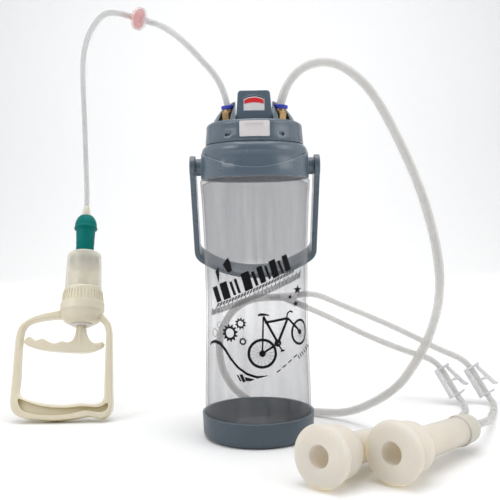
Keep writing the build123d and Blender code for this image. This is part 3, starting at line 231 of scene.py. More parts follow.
def slider_material():
    """White slider whose raised arched band, in front of BAND_Y, is red."""
    BAND_Y = -0.03100
    mat = plastic("lock_slider_two_tone", (0.70, 0.68, 0.68), rough=0.34, drift=0.03, bump=0.03,
                  coat=0.2)
    tree = mat.node_tree
    principled = next(n for n in tree.nodes if n.type == "BSDF_PRINCIPLED")
    white = principled.inputs["Base Color"].links[0].from_socket
    depth = node(tree, "SeparateXYZ", {"Vector": coords(tree)}, out="Y")
    in_band = arith(tree, "LESS_THAN", depth, BAND_Y)
    colour = mix_colour(tree, in_band, white, (0.62, 0.02, 0.025))
    tree.links.new(colour, principled.inputs["Base Color"])
    return mat


MATERIALS = {
    # slate: a painted highlight, pale blue-grey, on its edges
    "slate": plastic("slate_plastic", (0.078, 0.112, 0.146), rough=0.30, drift=0.05, bump=0.05,
                     coat=0.3, wear=(0.12, 0.155, 0.185), edge_highlight=(0.42, 0.48, 0.53), edge_highlight_mm=0.8),
    # slate base: a painted highlight on its edges
    "slate_dark": plastic("slate_plastic_base", (0.052, 0.074, 0.096), rough=0.4, drift=0.05,
                          bump=0.05, wear=(0.085, 0.11, 0.135), edge_highlight=(0.20, 0.24, 0.28)),
    "white": plastic("white_plastic", (0.66, 0.62, 0.625), rough=0.38, drift=0.03, bump=0.03,
                     coat=0.12, wear=(0.52, 0.50, 0.50)),
    "nylon": sheer("nylon_white", tint=(0.97, 0.97, 0.97), passes=(0.14, 0.0),
                   body=(0.84, 0.84, 0.85), rough=0.3, gloss=0.5, bump=0.35, grain=500.0),
    # brass: a painted highlight, pale gold, on its edges
    "brass": plastic("brass_turned", (0.30, 0.20, 0.095), rough=0.30, drift=0.25, grain=1500.0,
                     bump=0.14, metallic=1.0, alt=(0.09, 0.06, 0.035), stretch=(1, 1, 0.12),
                     edge_highlight=(0.80, 0.66, 0.40), edge_highlight_mm=0.5),
    "blue": plastic("blue_acetal", (0.03, 0.04, 0.42), rough=0.32, drift=0.06, bump=0.04,
                    coat=0.15),
    "black": plastic("rubber_black", (0.018, 0.018, 0.018), rough=0.6, drift=0.1, bump=0.1),
    "grey": plastic("grey_plastic", (0.13, 0.135, 0.14), rough=0.45, drift=0.06, bump=0.06),
    # cream: a painted highlight on its edges and painted shade, darker and yellower, in its hollows
    "cream": plastic("cream_plastic", (0.69, 0.63, 0.49), rough=0.34, drift=0.045, bump=0.05,
                     sss=0.15, coat=0.15, alt=(0.66, 0.585, 0.42), wear=(0.62, 0.55, 0.40),
                     edge_highlight=(0.80, 0.76, 0.66), edge_highlight_mm=1.2, hollow_painted_shading=(0.60, 0.505, 0.24)),
    "green": plastic("green_plastic", (0.0006, 0.150, 0.135), rough=0.42, drift=0.10, bump=0.05,
                     spec=0.10, alt=(0.001, 0.175, 0.155)),
    "steel": plastic("spring_steel", (0.55, 0.55, 0.56), rough=0.3, drift=0.05, bump=0.05,
                     metallic=1.0),
    # silicone: painted light, lighter and yellower, in its hollows, and painted light given off in
    # its bores
    "silicone": plastic("silicone_cream", (0.80, 0.77, 0.725), rough=0.45, drift=0.04, bump=0.10,
                        grain=420.0, sss=0.6, alt=(0.80, 0.75, 0.665), coat=0.12,
                        translucent=0.42, sss_scale=0.010, hollow_painted_shading=(0.92, 0.84, 0.62),
                        bore_painted_light=(0.95, 0.86, 0.68)),
    "silicone_cap": plastic("silicone_cap", (0.72, 0.69, 0.61), rough=0.42, drift=0.05,
                            bump=0.08, grain=420.0, alt=(0.72, 0.655, 0.52), coat=0.15,
                            translucent=0.3),
    "silicone_soft": sheer("silicone_pad", tint=(0.95, 0.94, 0.92), passes=(0.12, 0.0),
                           body=(0.80, 0.78, 0.75), rough=0.4, gloss=0.3, bump=0.1),
    "red": sheer("diaphragm_red", tint=(0.985, 0.80, 0.79), passes=(0.70, 0.45),
                 body=(0.86, 0.42, 0.40), rough=0.4, gloss=0.3, bump=0.04),
    "shell_pc": sheer("clear_bottle", tint=(0.948, 0.948, 0.951), passes=(0.95, 0.30),
                      body=(0.33, 0.335, 0.345), rough=0.06, gloss=0.18, bump=0.02, grain=60.0,
                      streak=0.13, z_fade=((0.160, 0.172), (1.0, 0.875)), edge_pow=6.0,
                      translucent=0.1),
    "clear": sheer("clear_plastic", tint=(0.975, 0.975, 0.98), passes=(0.86, 0.5),
                   body=(0.76, 0.76, 0.77), rough=0.08, gloss=0.8, bump=0.03),
    "pink": sheer("clear_red_plastic", tint=(0.985, 0.90, 0.89), passes=(0.84, 0.5),
                  body=(0.86, 0.70, 0.68), rough=0.1, gloss=0.7, bump=0.03),
    "milky": sheer("milky_plastic", tint=(0.975, 0.955, 0.92), passes=(0.50, 0.22),
                   body=(1.0, 0.975, 0.88), rough=0.2, gloss=0.5, bump=0.03, grain=60.0,
                   streak=0.14),
    "cup_shell": sheer("cup_shell_plastic", tint=(0.96, 0.955, 0.94), passes=(0.32, 0.10),
                       body=(0.86, 0.855, 0.85), rough=0.2, gloss=0.5, bump=0.04, grain=80.0,
                       translucent=0.6),
    "tube_milk": sheer("milk_hose_silicone", tint=(0.975, 0.97, 0.962), passes=(0.62, 0.22),
                       body=(0.715, 0.71, 0.70), rough=0.24, gloss=0.45, bump=0.03, grain=300.0),
    "tube_vac": sheer("vacuum_hose_clear", tint=(0.975, 0.975, 0.975), passes=(0.68, 0.22),
                      body=(0.68, 0.68, 0.68), rough=0.18, gloss=0.5, bump=0.03, grain=300.0),
    "ink": plastic("bottle_print_ink", (0.004, 0.004, 0.005), rough=0.6, drift=0.2, bump=0.12,
                   grain=1400.0, spec=0.12, wear=(0.02, 0.02, 0.02)),
    "ink_grey": plastic("bottle_print_grey", (0.055, 0.055, 0.06), rough=0.6, drift=0.15,
                        bump=0.1, grain=1400.0, spec=0.12),
    "slider": slider_material(),
}

# ---------------------------------------------------------------------------
# looks and rounded edges of the CAD pieces
# ---------------------------------------------------------------------------
LOOKS = {
    "shell_pc": "bottle_shell",
    "slate_dark": "base_cap",
    "slate": "lid_collar lid_top flip_cover carry_handle handle_pivot_pins",
    "white": "spout release_button y_connector rod_bush",
    "steel": "flip_hinge_pin flip_spring button_spring",
    "brass": "vacuum_fitting_body vacuum_fitting_nut milk_fitting_body milk_fitting_nut",
    "blue": "vacuum_release_collar milk_release_collar",
    "clear": "valve_half_lid",
    "pink": "valve_half_pump",
    "nylon": "clamp_left_body clamp_left_lever clamp_right_body clamp_right_lever",
    "cup_shell": "cup_left_shell cup_right_shell",
    "milky": "pump_barrel hose_adapter",
    "cream": "pump_ring_nut pump_frame pull_handle",
    "grey": "piston",
    "green": "nozzle",
    "slider": "lock_slider",
}
# bevel width, segments, pieces
EDGES = [
    (0.9, 3, "carry_handle"),
    (0.7, 3, "base_cap"),
    (0.5, 2, "flip_cover"),
    (0.45, 2, "lid_collar"),
    (0.45, 3, "release_button"),
    (0.4, 2, "lid_top nozzle"),
    (0.35, 2, "clamp_left_body clamp_left_lever clamp_right_body clamp_right_lever"),
    (0.3, 2, "spout y_connector valve_half_lid valve_half_pump vacuum_release_collar "
             "milk_release_collar cup_left_shell cup_right_shell"),
    (0.25, 2, "pump_ring_nut vacuum_fitting_nut milk_fitting_nut"),
    (0.2, 2, "lock_slider vacuum_fitting_body milk_fitting_body"),
]
EDGE_ANGLE = math.radians(32)


def paint(obj, mat):
    if not obj.material_slots:
        obj.data.materials.append(mat)
        return
    for slot in obj.material_slots:
        slot.link = "OBJECT"
        slot.material = mat


def soften(obj, width, segments):
    """Rounded moulded edges on a CAD piece."""
    weld = obj.modifiers.new("weld", "WELD")
    weld.merge_threshold = 0.00002
    bevel = obj.modifiers.new("edges", "BEVEL")
    bevel.width = width * MM
    bevel.segments = segments
    bevel.limit_method = "ANGLE"
    bevel.angle_limit = EDGE_ANGLE
    bevel.use_clamp_overlap = True
    bevel.harden_normals = False


for look, names in LOOKS.items():
    for name in names.split():
        paint(nodes[name], MATERIALS[look])
for width, segments, names in EDGES:
    for name in names.split():
        soften(nodes[name], width, segments)


# ---------------------------------------------------------------------------
# mesh helpers
# ---------------------------------------------------------------------------
def add_mesh(name, verts, faces, mat):
    mesh = bpy.data.meshes.new(name)
    mesh.from_pydata([tuple(v) for v in verts], [], faces)
    mesh.validate()
    mesh.update()
    obj = bpy.data.objects.new(name, mesh)
    scene.collection.objects.link(obj)
    mesh.materials.append(mat)
    for face in mesh.polygons:
        face.use_smooth = True
    return obj


def fix_normals(obj):
    bm = bmesh.new()
    bm.from_mesh(obj.data)
    bmesh.ops.remove_doubles(bm, verts=bm.verts, dist=1e-7)
    bmesh.ops.recalc_face_normals(bm, faces=bm.faces)
    bm.to_mesh(obj.data)
    bm.free()


def stand_in(obj, piece, body):
    """Put obj in the place of a CAD piece, moving with body."""
    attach(obj, body)
    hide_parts(piece)


def unit(vector):
    vector = np.array(vector, float)
    return vector / norm(vector)


def axes_about(axis):
    """Three unit axes, the last along axis."""
    z = np.array(axis, float)
    z /= norm(z)
    x = np.array((1, 0, 0) if abs(z[0]) < 0.9 else (0, 1, 0), float)
    x -= z * x.dot(z)
    x /= norm(x)
    return x, np.cross(z, x), z


def round_profile(profile, steps=5):
    """Round a closed outline of (radius, height along the axis, corner rounding)."""
    rounded = []
    count = len(profile)
    for i in range(count):
        before, corner, after = (np.array(profile[k][:2], float)
                                 for k in (i - 1, i, (i + 1) % count))
        rounding = profile[i][2]
        back, ahead = before - corner, after - corner
        back_len, ahead_len = norm(back), norm(ahead)
        if rounding <= 0 or back_len < 1e-6 or ahead_len < 1e-6:
            rounded.append(corner)
            continue
        cut = min(rounding, back_len * 0.48, ahead_len * 0.48)
        start, end = corner + back / back_len * cut, corner + ahead / ahead_len * cut
        for k in range(steps + 1):
            t = k / steps
            rounded.append((1 - t) ** 2 * start + 2 * t * (1 - t) * corner + t * t * end)
    return rounded


def lathe(name, profile, line, look, segments=72, wobble=0.0):
    """Turn a closed (radius, height) outline about a line; wobble is a slight out-of-round."""
    origin = np.array(line[0], float)
    x, y, z = axes_about(line[1])
    verts, faces = [], []
    count = len(profile)
    phase = random.random() * 6
    for k in range(segments):
        angle = 2 * math.pi * k / segments
        outward = x * math.cos(angle) + y * math.sin(angle)
        swell = (1 + wobble * math.sin(2 * angle + phase)
                 + wobble * 0.6 * math.sin(3 * angle + 1.7 * phase))
        for radius, height in profile:
            verts.append((origin + outward * (radius * swell) + z * height) * MM)
    for k in range(segments):
        k2 = (k + 1) % segments
        for i in range(count):
            j = (i + 1) % count
            faces.append((k * count + i, k * count + j, k2 * count + j, k2 * count + i))
    obj = add_mesh(name, verts, faces, MATERIALS[look])
    fix_normals(obj)
    return obj


# ---------------------------------------------------------------------------
# lines the soft parts lie on, each (point, direction)
# ---------------------------------------------------------------------------
FITTING_LEAN = math.radians(5)


def fitting_line(side):
    return (np.array([side * 23.5, -20.0, 301.2]),
            np.array([side * math.sin(FITTING_LEAN), 0, math.cos(FITTING_LEAN)]))


def cup_line(mouth, heading_deg, tilt_deg):
    """Teat cup axis from its mouth; heading turns from +Y to +X, tilt is downwards."""
    heading, tilt = math.radians(heading_deg), math.radians(tilt_deg)
    return (np.array(mouth), np.array([math.sin(heading) * math.cos(tilt),
                                       math.cos(heading) * math.cos(tilt), -math.sin(tilt)]))


VACUUM_FITTING, MILK_FITTING = fitting_line(-1), fitting_line(1)
VALVE = (np.array([-109.9, 8.0, 405.8]), unit((-22.0, 9.5, 9.0)))
PUMP = (np.array([-189.5, 51.1, 2.72]), unit((-0.0260, 0.3745, 0.9269)))
BOTTLE = ((0, 0, 0), (0, 0, 1))
SPOUT = ((0, -6, 0), (0, 0, 1))
Y_CENTRE = np.array([30.0, 96.0, 124.0])
Y_INLET = (Y_CENTRE, unit((1, 0.10, 0.0)))
Y_RIGHT = (Y_CENTRE, unit((1, 0.10, 0.12)))
Y_LEFT = (Y_CENTRE, unit((1, 0.10, -0.46)))
CLAMP_AXIS = unit((0.42, -0.36, -0.83))
CLAMP_RIGHT = (np.array([250.6, 109.0, 24.5]), CLAMP_AXIS)
CLAMP_LEFT = (np.array([216.6, 108.0, 24.5]), CLAMP_AXIS)
CUPS = {"left": cup_line((43.0, -153.5, 25.95), 42.0, 6.0),
        "right": cup_line((99.3, -148.5, 25.75), 44.0, 3.1)}


def on(line, distance):
    return tuple(line[0] + line[1] * distance)


# ---------------------------------------------------------------------------
# hoses
# ---------------------------------------------------------------------------
VACUUM_R, MILK_R = 3.0, 4.0     # outer radii of the two main hoses


def centreline(points, held, step=1.6):
    """Straight runs joined by tangent arcs, sampled evenly; held is the straight end lengths.

    A fourth value on a point limits how far from the corner its arc may start.
    """
    held_start, held_end = held
    corners = [np.array(p[:3], float) for p in points]
    limits = [p[3] if len(p) > 3 else 1e9 for p in points]
    path = [corners[0]]
    for i in range(1, len(corners) - 1):
        back, ahead = corners[i - 1] - corners[i], corners[i + 1] - corners[i]
        back_len, ahead_len = norm(back), norm(ahead)
        back_room = back_len - held_start if i == 1 else back_len / 2
        ahead_room = ahead_len - held_end if i == len(corners) - 2 else ahead_len / 2
        cut = min(back_room, ahead_room, limits[i]) * 0.98
        back, ahead = back / back_len, ahead / ahead_len
        half = math.acos(max(-1, min(1, back.dot(ahead)))) / 2
        if math.pi / 2 - half < 0.004:
            continue
        start, end = corners[i] + back * cut, corners[i] + ahead * cut
        radius = cut * math.tan(half)
        bisector = (back + ahead) / norm(back + ahead)
        centre = corners[i] + bisector * (radius / math.sin(half))
        spoke0, spoke1 = (start - centre) / radius, (end - centre) / radius
        sweep = math.acos(max(-1, min(1, spoke0.dot(spoke1))))
        count = max(3, int(sweep * radius / step))
        for k in range(count + 1):
            t = k / count
            path.append(centre + radius * (math.sin((1 - t) * sweep) * spoke0
                                           + math.sin(t * sweep) * spoke1) / math.sin(sweep))
    path.append(corners[-1])
    path = np.array(path)
    run = np.concatenate([[0], np.cumsum(norm(np.diff(path, axis=0), axis=1))])
    stations = np.linspace(0, run[-1], max(8, int(run[-1] / step)) + 1)
    line = np.stack([np.interp(stations, run, path[:, i]) for i in range(3)], axis=1)
    # relax the bends, holding the straight ends
    hold0 = max(2, int((held_start + 1) / step))
    hold1 = max(2, int((held_end + 1) / step))
    for _ in range(60):
        relaxed = line.copy()
        relaxed[1:-1] = 0.25 * line[:-2] + 0.5 * line[1:-1] + 0.25 * line[2:]
        relaxed[:hold0] = line[:hold0]
        relaxed[-hold1:] = line[-hold1:]
        line = relaxed
    return line


def tube(name, line, outer, inner, mat, segments=28):
    """Hollow tube along a centreline, its outside very slightly uneven away from the ends."""
    count = len(line)
    tangents = np.gradient(line, axis=0)
    tangents /= norm(tangents, axis=1)[:, None]
    x = axes_about(tangents[0])[0]
    rings = []
    for i in range(count):
        x = x - tangents[i] * x.dot(tangents[i])
        x /= norm(x)
        rings.append((line[i], x.copy(), np.cross(tangents[i], x)))
    verts, faces = [], []
    for radius in (outer, inner):
        for i, (centre, side, up) in enumerate(rings):
            uneven = radius == outer and 8 < i < count - 8
            swell = 1 + 0.012 * math.sin(i * 0.23 + radius) if uneven else 1
            for k in range(segments):
                angle = 2 * math.pi * k / segments
                outward = side * math.cos(angle) + up * math.sin(angle)
                verts.append((centre + outward * radius * swell) * MM)
    inside = count * segments   # first vertex of the bore
    for i in range(count - 1):
        for k in range(segments):
            k2 = (k + 1) % segments
            quad = (i * segments + k, i * segments + k2,
                    (i + 1) * segments + k2, (i + 1) * segments + k)
            faces.append(quad)
            faces.append(tuple(inside + v for v in reversed(quad)))
    last = (count - 1) * segments
    for k in range(segments):
        k2 = (k + 1) % segments
        faces.append((k2, k, inside + k, inside + k2))
        faces.append((last + k, last + k2, inside + last + k2, inside + last + k))
    return add_mesh(name, verts, faces, mat)


def hose(piece, look, outer, inner, held, points):
    obj = tube(piece + "_soft", centreline(points, held), outer, inner, MATERIALS[look])
    stand_in(obj, piece, "machine")


hose("vacuum_hose_lid", "tube_vac", outer=VACUUM_R, inner=2.0, held=(12.5, 11.4), points=[
    on(VACUUM_FITTING, 2.3), on(VACUUM_FITTING, 22), (-33.6, -20.0, 343.0),
    (-44.5, -19.0, 354.0), (-55.1, -18, 367.2), (-68.0, -14.5, 379.9), (-77.5, -7.5, 389.3),
    on(VALVE, -27.0), on(VALVE, -9.6)])
hose("vacuum_hose_pump", "tube_vac", outer=VACUUM_R, inner=2.0, held=(11.4, 18.0), points=[
    on(VALVE, 9.6), on(VALVE, 27.0), (-147.7, 33, 420.5), (-161.0, 53, 417.6),
    (-173.7, 74, 411.0), (-184.0, 96, 400.0), (-190.6, 115, 386.6), (-194.2, 130, 370.8),
    (-196.4, 142, 352.4), (-198.4, 154, 316.0), (-198.8, 156, 282.0), on(PUMP, 260),
    on(PUMP, 226.1)])
hose("milk_hose_main", "tube_milk", outer=MILK_R, inner=2.6, held=(12.0, 13.0), points=[
    on(MILK_FITTING, 2.3), on(MILK_FITTING, 21), (32.2, -20.6, 337.0), (38.0, -21.5, 344.6),
    (46.5, -22.5, 351.0), (58.0, -25, 354.6), (71.0, -29, 353.8), (83.6, -35, 347.2),
    (104.6, -46, 325.4), (122.5, -57, 287.5), (136.2, -66, 253.0), (145.9, -74, 222.0),
    (154.0, -82, 182.5), (156.4, -85.5, 150.0), (152.8, -84, 123.1), (145.0, -74, 95.0),
    (131.8, -40, 56.0), (120.3, -12, 37.0), (106.1, 20, 19.0), (88.9, 44, 6.4),
    (62.0, 61, 4.1), (34.0, 72, 4.1), (2.0, 79.0, 6.0), (-28.0, 83.0, 24.0),
    (-43.0, 85.5, 58.0), (-39.0, 88.5, 96.0), on(Y_INLET, -44.0), on(Y_INLET, -4.1)])
hose("milk_hose_branch_right", "tube_milk", outer=3.5, inner=2.2, held=(11.4, 15.0), points=[
    on(Y_RIGHT, 15.1), on(Y_RIGHT, 35.1), (92.0, 108, 114.6), (114.5, 111, 105.2),
    (144.8, 114, 91.5), (167.6, 115.5, 80.6), (187.1, 116, 70.6), (205.0, 117, 60.8),
    (221.0, 118.5, 53.5), on(CLAMP_RIGHT, -26.5) + (8.2,), on(CLAMP_RIGHT, 24.0) + (6.0,),
    (260.0, 86.0, 4.0), (251.1, 60.0, 4.0), (238.2, 31.0, 4.6), (226.0, 0.6, 9.5),
    on(CUPS["right"], 157), on(CUPS["right"], 127.1)])
hose("milk_hose_branch_left", "tube_milk", outer=3.5, inner=2.2, held=(11.4, 15.0), points=[
    on(Y_LEFT, 15.1), on(Y_LEFT, 35.1), (84.6, 109, 98.0), (114.3, 112.5, 82.5),
    (144.6, 114, 68.6), (169.0, 115, 58.6), (187.0, 116.5, 52.6),
    on(CLAMP_LEFT, -26.5) + (8.2,), on(CLAMP_LEFT, 24.0) + (6.0,), (226.5, 84.0, 4.0),
    (220.0, 54.0, 4.0), (202.0, 22.0, 4.0), (176.0, -8.0, 5.6), on(CUPS["left"], 160),
    on(CUPS["left"], 127.1)])

# ---------------------------------------------------------------------------
# silicone parts of the teat cups: radius, distance from the mouth, corner rounding
# ---------------------------------------------------------------------------
LINER = [
    (9.0, 1.4, 0.9), (12.5, 0.5, 3), (20.0, 0.0, 3), (24.4, 1.9, 3), (25.3, 5.8, 3),
    (24.6, 9.8, 3), (21.6, 12.0, 1.2), (18.9, 13.2, 0.9), (18.3, 14.6, 0.9), (18.9, 16.0, 0.9),
    (20.6, 19.0, 3), (21.5, 23.5, 3), (21.4, 28.0, 3), (20.0, 33.0, 3), (17.0, 37.0, 1.5),
    (15.2, 38.4, 0.6), (13.62, 38.2, 0.2), (13.6, 26.0, 0), (11.9, 26.0, 0), (11.0, 48.0, 0),
    (9.8, 116.0, 0), (8.4, 116.0, 0), (9.4, 48.0, 0), (10.2, 26.0, 0), (10.8, 10.0, 0.8),
    (9.0, 8.0, 0.8)]
END_CAP = [
    (12.68, 107.0, 0), (13.2, 107.0, 0.5), (13.9, 108.0, 0.8), (13.9, 110.8, 0.8),
    (13.3, 112.0, 0.6), (13.35, 113.2, 0.6), (12.3, 127.0, 2.4), (9.6, 131.2, 2.0),
    (6.7, 132.2, 1.0), (5.4, 133.6, 1.2), (4.9, 141.0, 0.5), (3.53, 141.0, 0),
    (3.53, 127.0, 0), (2.3, 127.0, 0), (2.3, 124.6, 0), (10.6, 124.6, 0), (10.6, 121.1, 0),
    (12.56, 121.1, 0)]

for side, line in CUPS.items():
    liner = lathe(f"cup_{side}_liner_soft", round_profile(LINER), line, "silicone",
                  segments=96, wobble=0.006)
    stand_in(liner, f"cup_{side}_liner", "machine")
    end_cap = lathe(f"cup_{side}_end_cap_soft", round_profile(END_CAP), line, "silicone_cap",
                    wobble=0.004)
    stand_in(end_cap, f"cup_{side}_end_cap", "machine")


# ---------------------------------------------------------------------------
# gaskets, seals, pads
# ---------------------------------------------------------------------------
def flat_ring(inner, outer, bottom, top):
    return round_profile([(inner, bottom, 0.4), (outer, bottom, 0.4), (outer, top, 0.4),
                          (inner, top, 0.4)])


def round_ring(radius, height, wire, count):
    """Circular section of radius wire, centred on (radius, height)."""
    return [(radius + wire * math.cos(a), height + wire * math.sin(a))
            for a in np.linspace(0, 2 * math.pi, count, False)]


def seal(piece, profile, line, look, body, segments=72):
    obj = lathe(piece + "_soft", profile, line, look, segments)
    stand_in(obj, piece, body)


# radius, height along the axis, corner rounding
SPOUT_PLUG = [(0.02, 316.5, 0), (7.3, 316.5, 0.5), (8.2, 317.5, 0.5), (8.1, 325.0, 0.4),
              (0.02, 325.1, 0)]
PISTON_VALVE = [(3.62, 167.5, 0.2), (11.9, 167.5, 0.2), (12.0, 168.1, 0.2), (11.6, 168.5, 0.2),
                (3.62, 168.5, 0.2)]
DIAPHRAGM = [(0.02, -0.38, 0), (9.1, -0.38, 0.2), (9.2, 0, 0.1), (9.1, 0.38, 0.2),
             (0.02, 0.38, 0)]

seal("lid_gasket", flat_ring(42.5, 45.85, 271, 272.95), BOTTLE, "silicone_soft", "machine")
seal("top_gasket", flat_ring(40.5, 44.35, 276, 277.45), BOTTLE, "silicone_soft", "machine")
seal("spout_plug", round_profile(SPOUT_PLUG), SPOUT, "silicone_soft", "cover")
for piece, line, hose_r in (("vacuum_fitting_oring", VACUUM_FITTING, VACUUM_R),
                            ("milk_fitting_oring", MILK_FITTING, MILK_R)):
    section = round_ring(hose_r + 0.81, 4.0, wire=0.78, count=16)
    seal(piece, section, line, "black", "machine", segments=48)
seal("barrel_gasket", flat_ring(17, 21.95, 117.42, 118.85), PUMP, "black", "machine")
seal("piston_seal", round_ring(15.34, 174.1, wire=1.1, count=18), PUMP, "black", "piston")
seal("piston_valve", round_profile(PISTON_VALVE), PUMP, "black", "piston")
seal("valve_diaphragm", round_profile(DIAPHRAGM), VALVE, "red", "machine")


# ---------------------------------------------------------------------------
# coil spring behind the button
# ---------------------------------------------------------------------------
def button_spring(turns=3.9, pitch=2.0, coil_r=2.4, wire_r=0.34, start_y=-26.0, axis_z=291.0,
                  steps=150, sides=10):
    line = [np.array([coil_r * math.cos(a), start_y - pitch * a / (2 * math.pi),
                      axis_z + coil_r * math.sin(a)])
            for a in np.linspace(0, 2 * math.pi * turns, steps)]
    verts, faces = [], []
    for centre, tangent in zip(line, np.gradient(np.array(line), axis=0)):
        tangent = tangent / norm(tangent)
        outward = np.array([centre[0], 0, centre[2] - axis_z]) / coil_r
        across = np.cross(tangent, outward)
        for k in range(sides):
            angle = 2 * math.pi * k / sides
            offset = outward * math.cos(angle) + across * math.sin(angle)
            verts.append((centre + wire_r * offset) * MM)
    last = (steps - 1) * sides
    for i in range(0, last, sides):
        for k in range(sides):
            k2 = (k + 1) % sides
            faces.append((i + k, i + k2, i + sides + k2, i + sides + k))
    faces += [tuple(range(sides))[::-1], tuple(last + k for k in range(sides))]
    obj = add_mesh("button_spring_coil", verts, faces, MATERIALS["steel"])
    fix_normals(obj)
    stand_in(obj, "button_spring", "machine")
    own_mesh(obj)


button_spring()

# ---------------------------------------------------------------------------
# print on the bottle: plain shapes, no lettering. Outlines are in (u, z), u measured round the
# bottle from its front, and are wrapped on the shell. A shape is (outline, [holes]).
# ---------------------------------------------------------------------------
# height, radius of the shell
SHELL = [(34, 51.4), (54, 51.0), (73, 50.4), (92, 49.9), (112, 49.5), (150, 49.5), (180, 49.8),
         (210, 50.9), (230, 51.9)]
WRAP_R = 50.0       # radius at which u is an arc length
FRONT_R = 50.2      # radius at which x is carried on to the shell
WRAP_STEP = 2.5     # widest facet round the bottle


def at(x, z):
    """The (u, z) of a point laid out x to the right of the middle in the front view."""
    return (WRAP_R * math.asin(x / FRONT_R), z)


def stamp(x, z, *offsets):
    """Solid shape with its corners at offsets from (x, z) in the front view."""
    return ([at(x + dx, z + dz) for dx, dz in offsets], [])


def circle(centre, radius, count=40):
    return [(centre[0] + radius * math.cos(2 * math.pi * k / count),
             centre[1] + radius * math.sin(2 * math.pi * k / count)) for k in range(count)]


def star(x, z, radius, turn):
    """Five-pointed star, very slightly taller than wide."""
    corners = []
    for k in range(10):
        reach = radius if k % 2 == 0 else radius * 0.42
        angle = turn + math.pi * k / 5
        corners.append((0.999 * reach * math.sin(angle), 1.0018 * reach * math.cos(angle)))
    return stamp(x, z, *corners)


def gear(centre, radius, teeth, depth):
    outline = []
    pitch = 2 * math.pi / teeth
    for k in range(teeth):
        start = 2 * math.pi * k / teeth
        for part, reach in ((0.0, radius), (0.22, radius + depth), (0.5, radius + depth),
                            (0.72, radius)):
            outline.append((centre[0] + reach * math.cos(start + part * pitch),
                            centre[1] + reach * math.sin(start + part * pitch)))
    return outline


def bar(start, end, width):
    start, end = np.array(start, float), np.array(end, float)
    along = end - start
    along /= norm(along)
    side = np.array([-along[1], along[0]]) * width / 2
    return [tuple(start + side), tuple(start - side), tuple(end - side), tuple(end + side)]


def ribbon(points, widths):
    line = np.array(points, float)
    along = np.gradient(line, axis=0)
    along /= norm(along, axis=1)[:, None]
    side = np.stack([-along[:, 1], along[:, 0]], 1) * (np.array(widths)[:, None] / 2)
    return [tuple(p) for p in line + side] + [tuple(p) for p in (line - side)[::-1]]


def slice_at(bm, point, normal):
    bmesh.ops.bisect_plane(bm, geom=bm.verts[:] + bm.edges[:] + bm.faces[:], plane_co=point,
                           plane_no=normal, dist=1e-6)


def ink(name, shapes, look="ink", thick=0.16, lift=0.06):
    """Fill the shapes, give them a thickness and wrap them on the shell, lift clear of it."""
    curve = bpy.data.curves.new(name, "CURVE")
    curve.dimensions = "2D"
    curve.fill_mode = "BOTH"
    curve.extrude = 0.5
    for outline, holes in shapes:
        for loop in [outline] + holes:
            spline = curve.splines.new("POLY")
            spline.points.add(len(loop) - 1)
            for k, (x, y) in enumerate(loop):
                spline.points[k].co = (x, y, 0, 1)
            spline.use_cyclic_u = True
    flat = bpy.data.objects.new(name + "_tmp", curve)
    scene.collection.objects.link(flat)
    depsgraph = bpy.context.evaluated_depsgraph_get()
    mesh = bpy.data.meshes.new_from_object(flat.evaluated_get(depsgraph))
    bpy.data.objects.remove(flat)
    bpy.data.curves.remove(curve)

    bm = bmesh.new()
    bm.from_mesh(mesh)
    bmesh.ops.remove_doubles(bm, verts=bm.verts, dist=1e-5)
    us = [v.co.x for v in bm.verts]
    u = math.floor(min(us) / WRAP_STEP) * WRAP_STEP
    while u < max(us):
        slice_at(bm, (u, 0, 0), (1, 0, 0))
        u += WRAP_STEP
    heights = [v.co.y for v in bm.verts]
    for height, _ in SHELL:
        if min(heights) < height < max(heights):
            slice_at(bm, (0, height, 0), (0, 1, 0))
    bmesh.ops.triangulate(bm, faces=bm.faces)
    for v in bm.verts:
        shell_r = float(np.interp(v.co.y, *zip(*SHELL)))
        radius = shell_r + lift + (v.co.z + 0.5) * thick
        angle = v.co.x / WRAP_R
        v.co = (radius * math.sin(angle) * MM, -radius * math.cos(angle) * MM, v.co.y * MM)
    bmesh.ops.recalc_face_normals(bm, faces=bm.faces)
    bm.to_mesh(mesh)
    bm.free()
    mesh.name = name
    mesh.materials.clear()
    mesh.materials.append(MATERIALS[look])
    obj = bpy.data.objects.new(name, mesh)
    scene.collection.objects.link(obj)
    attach(obj, "bottle")


# row of solid bars climbing to the right, each leaning left
ROW_X, ROW_Z = -36.63, 134.0298     # where the row and its hatching start
ROW_SLOPE = 0.439317
BAR_LEAN = 4.329
# x of the foot, width, foot and top heights above the row's line
ROW_BARS = [
    (-37.296, 4.329, -1.2721, 12.4031), (-30.636, 6.66, -1.5901, 13.3571),
    (-21.312, 2.331, -0.9541, 11.1310), (-16.983, 2.331, -0.9541, 11.7670),
    (-10.656, 7.326, -1.9082, 13.9932), (-0.999, 2.664, -1.2721, 11.4490),
    (3.663, 4.995, -1.2721, 13.3571), (10.989, 1.998, -0.6361, 11.1310),
    (14.985, 5.661, -1.9082, 13.6752), (22.977, 1.998, -0.9541, 10.4949),
    (26.973, 4.662, -1.2721, 12.7211)]
blocks = []
for x, width, foot, top in ROW_BARS:
    climb = width * ROW_SLOPE
    blocks.append(stamp(x, ROW_Z + (x - ROW_X) * ROW_SLOPE, (0, foot), (width, foot + climb),
                        (width - BAR_LEAN, top + climb), (-BAR_LEAN, top)))
ink("print_blocks", blocks)

hatch = []
for k in range(26):
    along = k / 25
    hatch.append(stamp(ROW_X + along * 69.93, ROW_Z + along * 30.2126, (0, -2.2262),
                       (1.998, -1.2721), (0.666, -4.7704), (-1.332, -5.7245)))
ink("print_hatch", hatch, "ink_grey")

